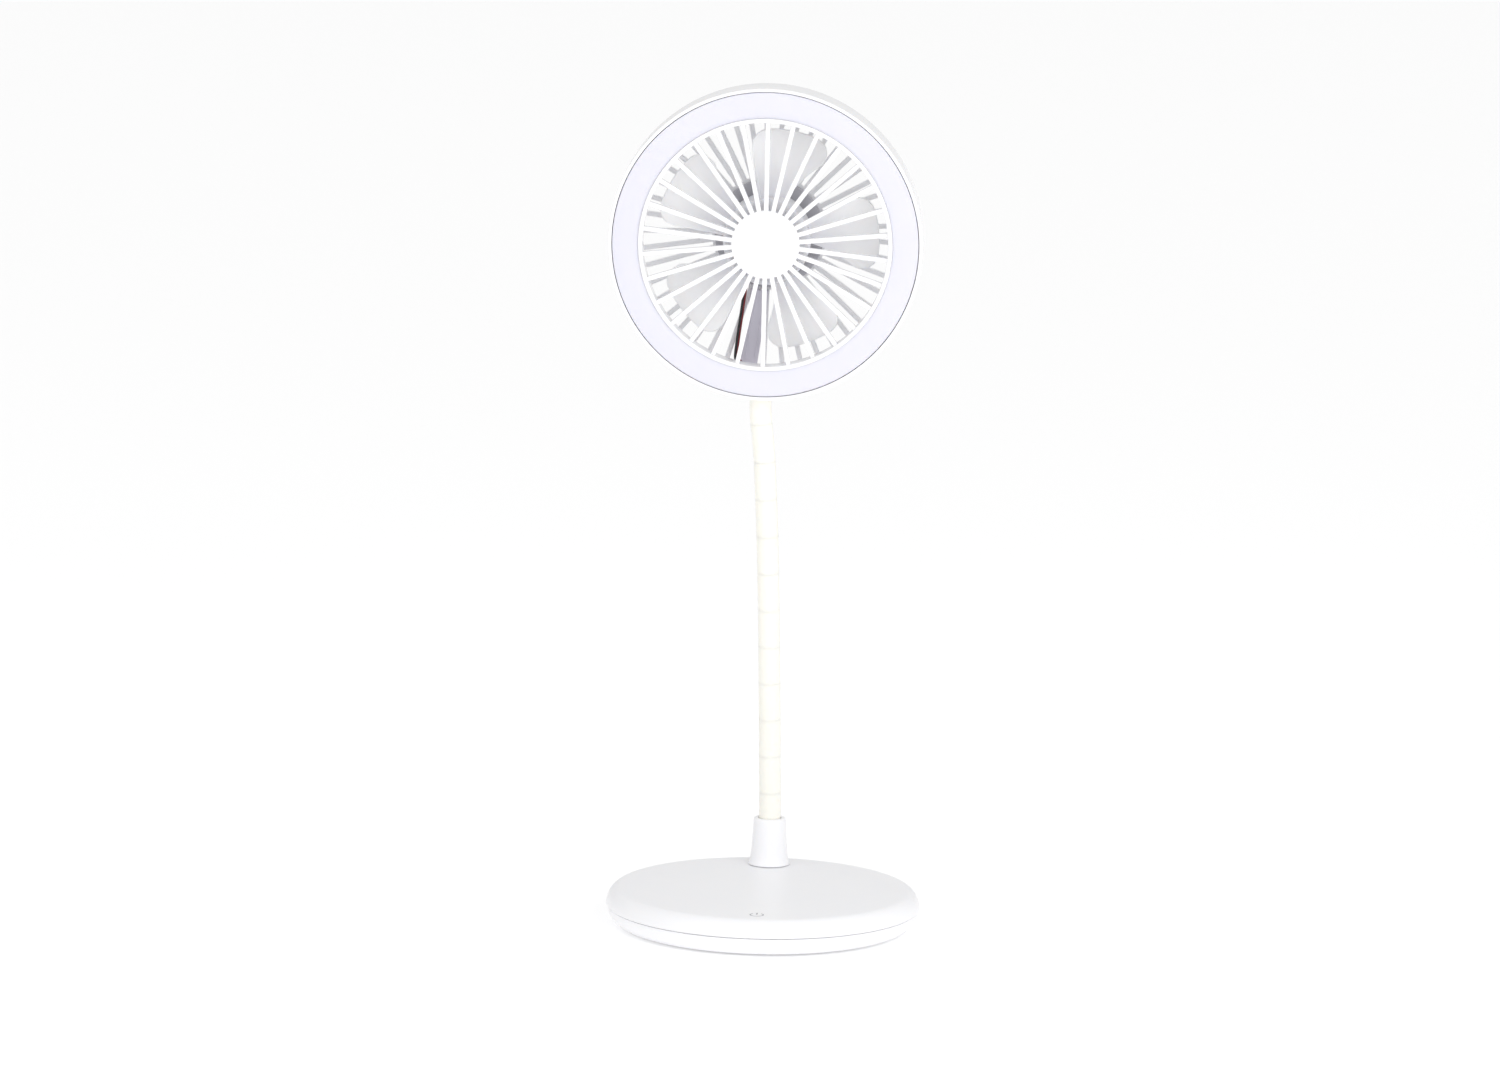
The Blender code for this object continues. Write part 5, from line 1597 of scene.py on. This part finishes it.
@dataclass
class Drive:
    """The motor's cradle and leads, and the impeller."""

    shop: Workshop
    cup_wall: float = 2.0 * MM
    base_thickness: float = 2.0 * MM
    slip: float = 0.3 * MM
    boss_radius: float = 2.4 * MM
    boss_height: float = 2.6 * MM
    boss_root: float = 0.8 * MM
    pilot_radius: float = 0.95 * MM
    lead_radius: float = 0.55 * MM
    lead_shift: tuple[float, float, float] = (0.75 * MM, 0.0, -1.1 * MM)
    lead_exit: float = math.radians(214.0)
    lead_lift: float = 1.7 * MM
    lead_aside: float = 13.2 * MM
    lead_turn: float = 5.5 * MM
    lead_corner: float = 3.2 * MM
    stem_insert: float = 9.7 * MM
    duct_end: float = 4.0 * MM
    hub_wall: float = 1.5 * MM
    hub_edge: float = 1.6 * MM
    hub_gap: float = 3.4 * MM
    hub_root: float = 0.8 * MM
    press_fit: float = 0.05 * MM
    boss_length: float = 5.0 * MM
    shaft_boss: float = 3.4 * MM
    blade_count: int = 5
    blade_start: float = math.radians(-11.3)
    tip_span: float = math.radians(46.0)
    root_span: float = math.radians(34.0)
    blade_thickness: float = 1.3 * MM
    blade_corner: float = 9.0 * MM
    blade_edge: float = 0.4 * MM
    front_inset: float = 1.6 * MM
    rear_inset: float = 4.5 * MM
    camber: float = 0.10
    washout: float = 0.25
    edge_angle: float = math.radians(50)
    columns: int = 30
    rows: int = 20

    def __post_init__(self) -> None:
        """Reads the motor's and the impeller's sizes from the frame."""
        self.head = head_frame()
        self.motor_radius = self.head.radius("motor_can")
        self.cup_radius = self.motor_radius + self.slip + self.cup_wall
        self.hub_radius = self.cup_radius + self.hub_gap + self.hub_wall
        self.tip_radius = self.head.radius("impeller")
        self.front, self.rear = self.head.depths("impeller")

    def build(self) -> None:
        """Builds the drive's pieces."""
        self._cradle()
        self._impeller()
        self._leads()

    def _cradle(self) -> None:
        """The disc and cup that hold the motor, with the three screw bosses."""
        front, back = self.head.depths("motor_mount")
        floor = -back + self.base_thickness
        radius = self.head.radius("motor_mount")
        inner = self.motor_radius + self.slip
        corners = [
            (0.0, floor, 0.0),
            (inner, floor, 0.0),
            (inner, -front, BROKEN),
            (self.cup_radius, -front, ROUNDED),
            (self.cup_radius, floor, self.boss_root),
            (radius, floor, ROUNDED),
            (radius, -back, BROKEN),
            (0.0, -back, 0.0),
        ]
        places = [self.head.place_of(f"motor_mount_screw_{i}") for i in range(1, 4)]
        top = floor + self.boss_height
        bosses = [post(p, self.boss_radius, top, floor - self.boss_root, 32) for p in places]
        cradle = worked(turned(corners, 120), bosses, "UNION")
        pilots = [post(p, self.pilot_radius, top + self.slip, -back - self.slip, 16) for p in places]
        mesh = worked(cradle, pilots, "DIFFERENCE")
        self.shop.fit("motor_cradle", mesh, GREY_ABS, "head", "grey_mount", ["motor_mount"], self.head.matrix)

    def _impeller(self) -> None:
        """The hub that is pressed on the shaft, and its blades, in one moulding."""
        inner = self.hub_radius - self.hub_wall
        face = -self.front - self.hub_wall
        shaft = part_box("motor_shaft")
        bore = (shaft[1].x - shaft[0].x) / 2 + self.press_fit
        boss_end = face - self.boss_length
        hub = turned(
            [
                (0.0, -self.front, 0.0),
                (self.hub_radius, -self.front, self.hub_edge),
                (self.hub_radius, -self.rear, BROKEN),
                (inner, -self.rear, BROKEN),
                (inner, face, self.hub_root),
                (self.shaft_boss, face, ROUNDED),
                (self.shaft_boss, boss_end, BROKEN),
                (bore, boss_end, 0.0),
                (bore, face - self.press_fit, 0.0),
                (0.0, face - self.press_fit, 0.0),
            ],
            120,
        )
        finish = rotor_finish(self.head)
        values = {"Count": self.blade_count, "First angle": 0.0}
        blades = self.shop.ring.grow(self._blade(), finish, values)
        mesh = worked(hub, [blades], "UNION")
        self.shop.fit("fan_impeller", mesh, finish, "rotor", "milky_impeller", ["impeller"], self.head.matrix)

    def _blade(self) -> bpy.types.Mesh:
        """One pitched blade, cambered, with round corners at its tip and rounded edges."""
        bm = bmesh.new()
        bmesh.ops.create_grid(bm, x_segments=self.columns, y_segments=self.rows, size=0.5)
        root = self.hub_radius - self.hub_wall / 2
        share = self.blade_corner / (self.tip_radius * self.tip_span)
        low, high = self.front + self.front_inset, self.rear - self.rear_inset
        rise = high - low - self.blade_thickness
        for vertex in bm.verts:
            across, outward = vertex.co.x + 0.5, vertex.co.y + 0.5
            missing = max(0.0, 1.0 - min(across, 1.0 - across) / share)
            tip = self.tip_radius - self.blade_corner * (1.0 - math.sqrt(1.0 - missing * missing))
            radius = root + (tip - root) * outward
            angle = self.blade_start + (self.root_span + (self.tip_span - self.root_span) * outward) * across
            sweep = across + self.camber * math.sin(math.pi * across)
            height = -(low + high) / 2 + (0.5 - sweep) * rise * (1.0 - self.washout * outward)
            vertex.co = (radius * math.sin(angle), radius * math.cos(angle), height)
        obj = shown("blade", finished(bm))
        wall = obj.modifiers.new("wall", "SOLIDIFY")
        wall.thickness = self.blade_thickness
        wall.offset = 0.0
        edge = obj.modifiers.new("edge", "BEVEL")
        edge.width = self.blade_edge
        edge.segments = 3
        edge.limit_method = "ANGLE"
        edge.angle_limit = self.edge_angle
        return smoothed(evaluated(obj))

    def _leads(self) -> None:
        """The black lead and the red one behind it, from the motor to the neck's end."""
        reach = self.cup_radius + self.lead_radius + self.slip + self.lead_shift[0]
        start = (reach * math.sin(self.lead_exit), reach * math.cos(self.lead_exit))
        deep = self.lead_lift - self.head.depths("motor_can")[1]
        stem = self.head.radius("front_housing") - self.stem_insert
        low = stem - self.lead_turn
        neck_radius = half_depth("neck_upper_ferrule")
        beside = -stem + self.lead_radius * 2
        front = self.duct_end - self.head.depths("front_housing")[1]
        aside, corner = self.lead_aside, self.lead_corner
        route = [
            (*start, deep),
            ((start[0] - aside) / 2, (start[1] - low) / 2, deep),
            (-aside, -low, deep),
            (-aside * 0.9, -stem + corner, deep + corner * 1.25),
            (-aside * 0.64, -stem + corner / 2, deep + corner * 3),
            (-neck_radius, beside, front - corner * 1.25),
            (-neck_radius / 2, beside, front - self.lead_radius),
        ]
        sizes = {"Radius": self.lead_radius, "Sides": 16}
        shifts = (("black", BLACK_PVC, Vector()), ("red", RED_PVC, Vector(self.lead_shift)))
        for shade, finish, shift in shifts:
            points = [Vector(place) + shift for place in route]
            tube = self.shop.tube.grow(line(flowing(points, 10)), finish, sizes)
            slot, node = f"{shade}_wire", f"motor_lead_{shade}"
            self.shop.fit(f"{shade}_lead", smoothed(tube), finish, "head", slot, [node], self.head.matrix)


def flowing(points: Sequence[Vector], steps: int) -> list[Vector]:
    """Points of a smooth curve through the given ones, by Catmull and Rom's rule.

    Args:
        points: What the curve passes through.
        steps: How many pieces each stretch has.

    Returns:
        The curve's points.
    """
    path = []
    padded = [points[0] * 2 - points[1], *points, points[-1] * 2 - points[-2]]
    for a, b, c, d in zip(padded, padded[1:], padded[2:], padded[3:]):
        for i in range(steps):
            t = i / steps
            square = (2 * a - 5 * b + 4 * c - d) * t**2
            cube = (3 * b - a - 3 * c + d) * t**3
            path.append((2 * b + (c - a) * t + square + cube) / 2)
    return path + [points[-1]]


def rotor_finish(head: HeadFrame) -> RadialFinish:
    """Milky polypropylene of the impeller, with painted shade: darker near the hub, for the hub's shadow.

    Args:
        head: The head's frame, whose axis the colour turns about.

    Returns:
        The finish.
    """
    return RadialFinish(
        "moulded_milky_polypropylene", "#FDFDFE", "#FAFAFC", 0.38, grain_mm=0.5, relief_mm=0.006,
        # The inner colour is painted shade: the darker grey near the hub stands in for the hub's shadow.
        scatter=0.4, scatter_mm=1.2, ior=1.49, centre=tuple(head.matrix.translation), inner="#EEEEF2",
    )


# ------------------------------------------------------------- what stays as modelled

CARRIED_OVER: dict[str, Finish] = {
    "ballast_plate": ZINC_STEEL,
    "battery_pack": CELL_FOIL,
    "led_board": WHITE_BOARD,
    "main_board": GREEN_BOARD,
    "motor_armature": DARK_IRON,
    "motor_can": ZINC_STEEL,
    "motor_end_cap": BLACK_NYLON,
    "motor_front_bushing": SINTERED_BRONZE,
    "motor_magnet": DARK_IRON,
    "motor_rear_bushing": SINTERED_BRONZE,
    "motor_shaft": ZINC_STEEL,
    "neck_clamp": WHITE_ABS,
    "neck_hex_nut": ZINC_STEEL,
    "neck_washer": ZINC_STEEL,
    "touch_board": GREEN_BOARD,
    "usb_inlet_shell": ZINC_STEEL,
    "usb_inlet_tongue": BLACK_NYLON,
}


def dress_carried_over() -> None:
    """Gives the pieces that keep their modelled shape their real finish."""
    for node, finish in CARRIED_OVER.items():
        materials = frame["nodes"][node].data.materials
        materials.clear()
        materials.append(finish.material())
        LOG.info("%s keeps its shape, in %s", node, finish.name)


# ------------------------------------------------------------------------------ stage


@dataclass
class SoftLight:
    """A softbox: where it stands, how large it is and how bright."""

    name: str
    place: tuple[float, float, float]
    size: float
    power: float


@dataclass
class Studio:
    """The camera, the floor, the bright surround and the soft lights."""

    camera_place: tuple[float, float, float] = (0.1843, -3.990, 0.8934)
    yaw: float = math.radians(2.775)
    pitch: float = math.radians(10.164)
    roll: float = math.radians(1.164)
    lens: float = 219.3
    sensor: float = 36.0
    aim_height: float = 0.18
    floor_reach: float = 20.0
    floor_glow: float = 0.2
    floor_gloss: float = 0.25
    floor_roughness: float = 0.18
    surround: float = 0.76
    lights: Sequence[SoftLight] = (
        SoftLight("key", (1.5, -2.4, 1.7), 1.4, 19.0),
        SoftLight("fill", (-1.9, -1.8, 1.2), 1.6, 8.0),
        SoftLight("front", (0.0, -3.0, 0.5), 1.2, 6.0),
        SoftLight("edge", (0.55, -0.45, 0.28), 0.35, 0.5),
    )

    def camera(self) -> None:
        """The camera, long and a little above the object."""
        data = bpy.data.cameras.new("camera")
        data.lens = self.lens
        data.sensor_width = self.sensor
        camera = shown("camera", data)
        level = math.cos(self.pitch)
        ahead = Vector((-math.sin(self.yaw) * level, math.cos(self.yaw) * level, -math.sin(self.pitch)))
        turn = ahead.to_track_quat("-Z", "Y").to_matrix().to_4x4() @ Matrix.Rotation(self.roll, 4, "Z")
        camera.matrix_world = Matrix.Translation(self.camera_place) @ turn
        bpy.context.scene.camera = camera

    def build(self) -> None:
        """The floor, the surround and the lights."""
        self._floor()
        self._surround()
        for light in self.lights:
            data = bpy.data.lights.new(light.name, "AREA")
            data.size = light.size
            data.energy = light.power
            lamp = shown(light.name, data)
            place = Vector(light.place)
            aim = Vector((0.0, 0.0, self.aim_height)) - place
            lamp.matrix_world = Matrix.Translation(place) @ aim.to_track_quat("-Z", "Y").to_matrix().to_4x4()

    def _floor(self) -> None:
        """A plain pale floor with a faint gloss."""
        bm = bmesh.new()
        bmesh.ops.create_grid(bm, x_segments=1, y_segments=1, size=self.floor_reach)
        mesh = finished(bm)
        material = bpy.data.materials.new("pale_floor")
        material.use_nodes = True
        shader = material.node_tree.nodes["Principled BSDF"]
        shader.inputs["Base Color"].default_value = linear("#FDFDFD")
        shader.inputs["Roughness"].default_value = self.floor_roughness
        shader.inputs["Specular IOR Level"].default_value = self.floor_gloss
        shader.inputs["Emission Color"].default_value = linear("#FFFFFF")
        shader.inputs["Emission Strength"].default_value = self.floor_glow
        mesh.materials.append(material)
        shown("floor", mesh)

    def _surround(self) -> None:
        """An even white surround."""
        world = bpy.data.worlds.new("surround")
        world.use_nodes = True
        ground = world.node_tree.nodes["Background"]
        ground.inputs["Color"].default_value = linear("#FFFFFF")
        ground.inputs["Strength"].default_value = self.surround
        bpy.context.scene.world = world
        bpy.context.scene.view_settings.view_transform = "Standard"


# ----------------------------------------------------------------------------- making


def main() -> None:
    """Sets the camera, builds every sub-assembly and dresses the rest."""
    logging.basicConfig(level=logging.INFO, format="%(name)s: %(message)s")
    studio = Studio()
    studio.camera()
    shop = Workshop()
    builders: Sequence[Callable[[], None]] = (
        Base(shop).build,
        Neck(shop).build,
        FrontEnd(shop).build,
        RearEnd(shop).build,
        Drive(shop).build,
    )
    for build in builders:
        build()
    dress_carried_over()
    studio.build()


if __name__ == "__main__":
    main()
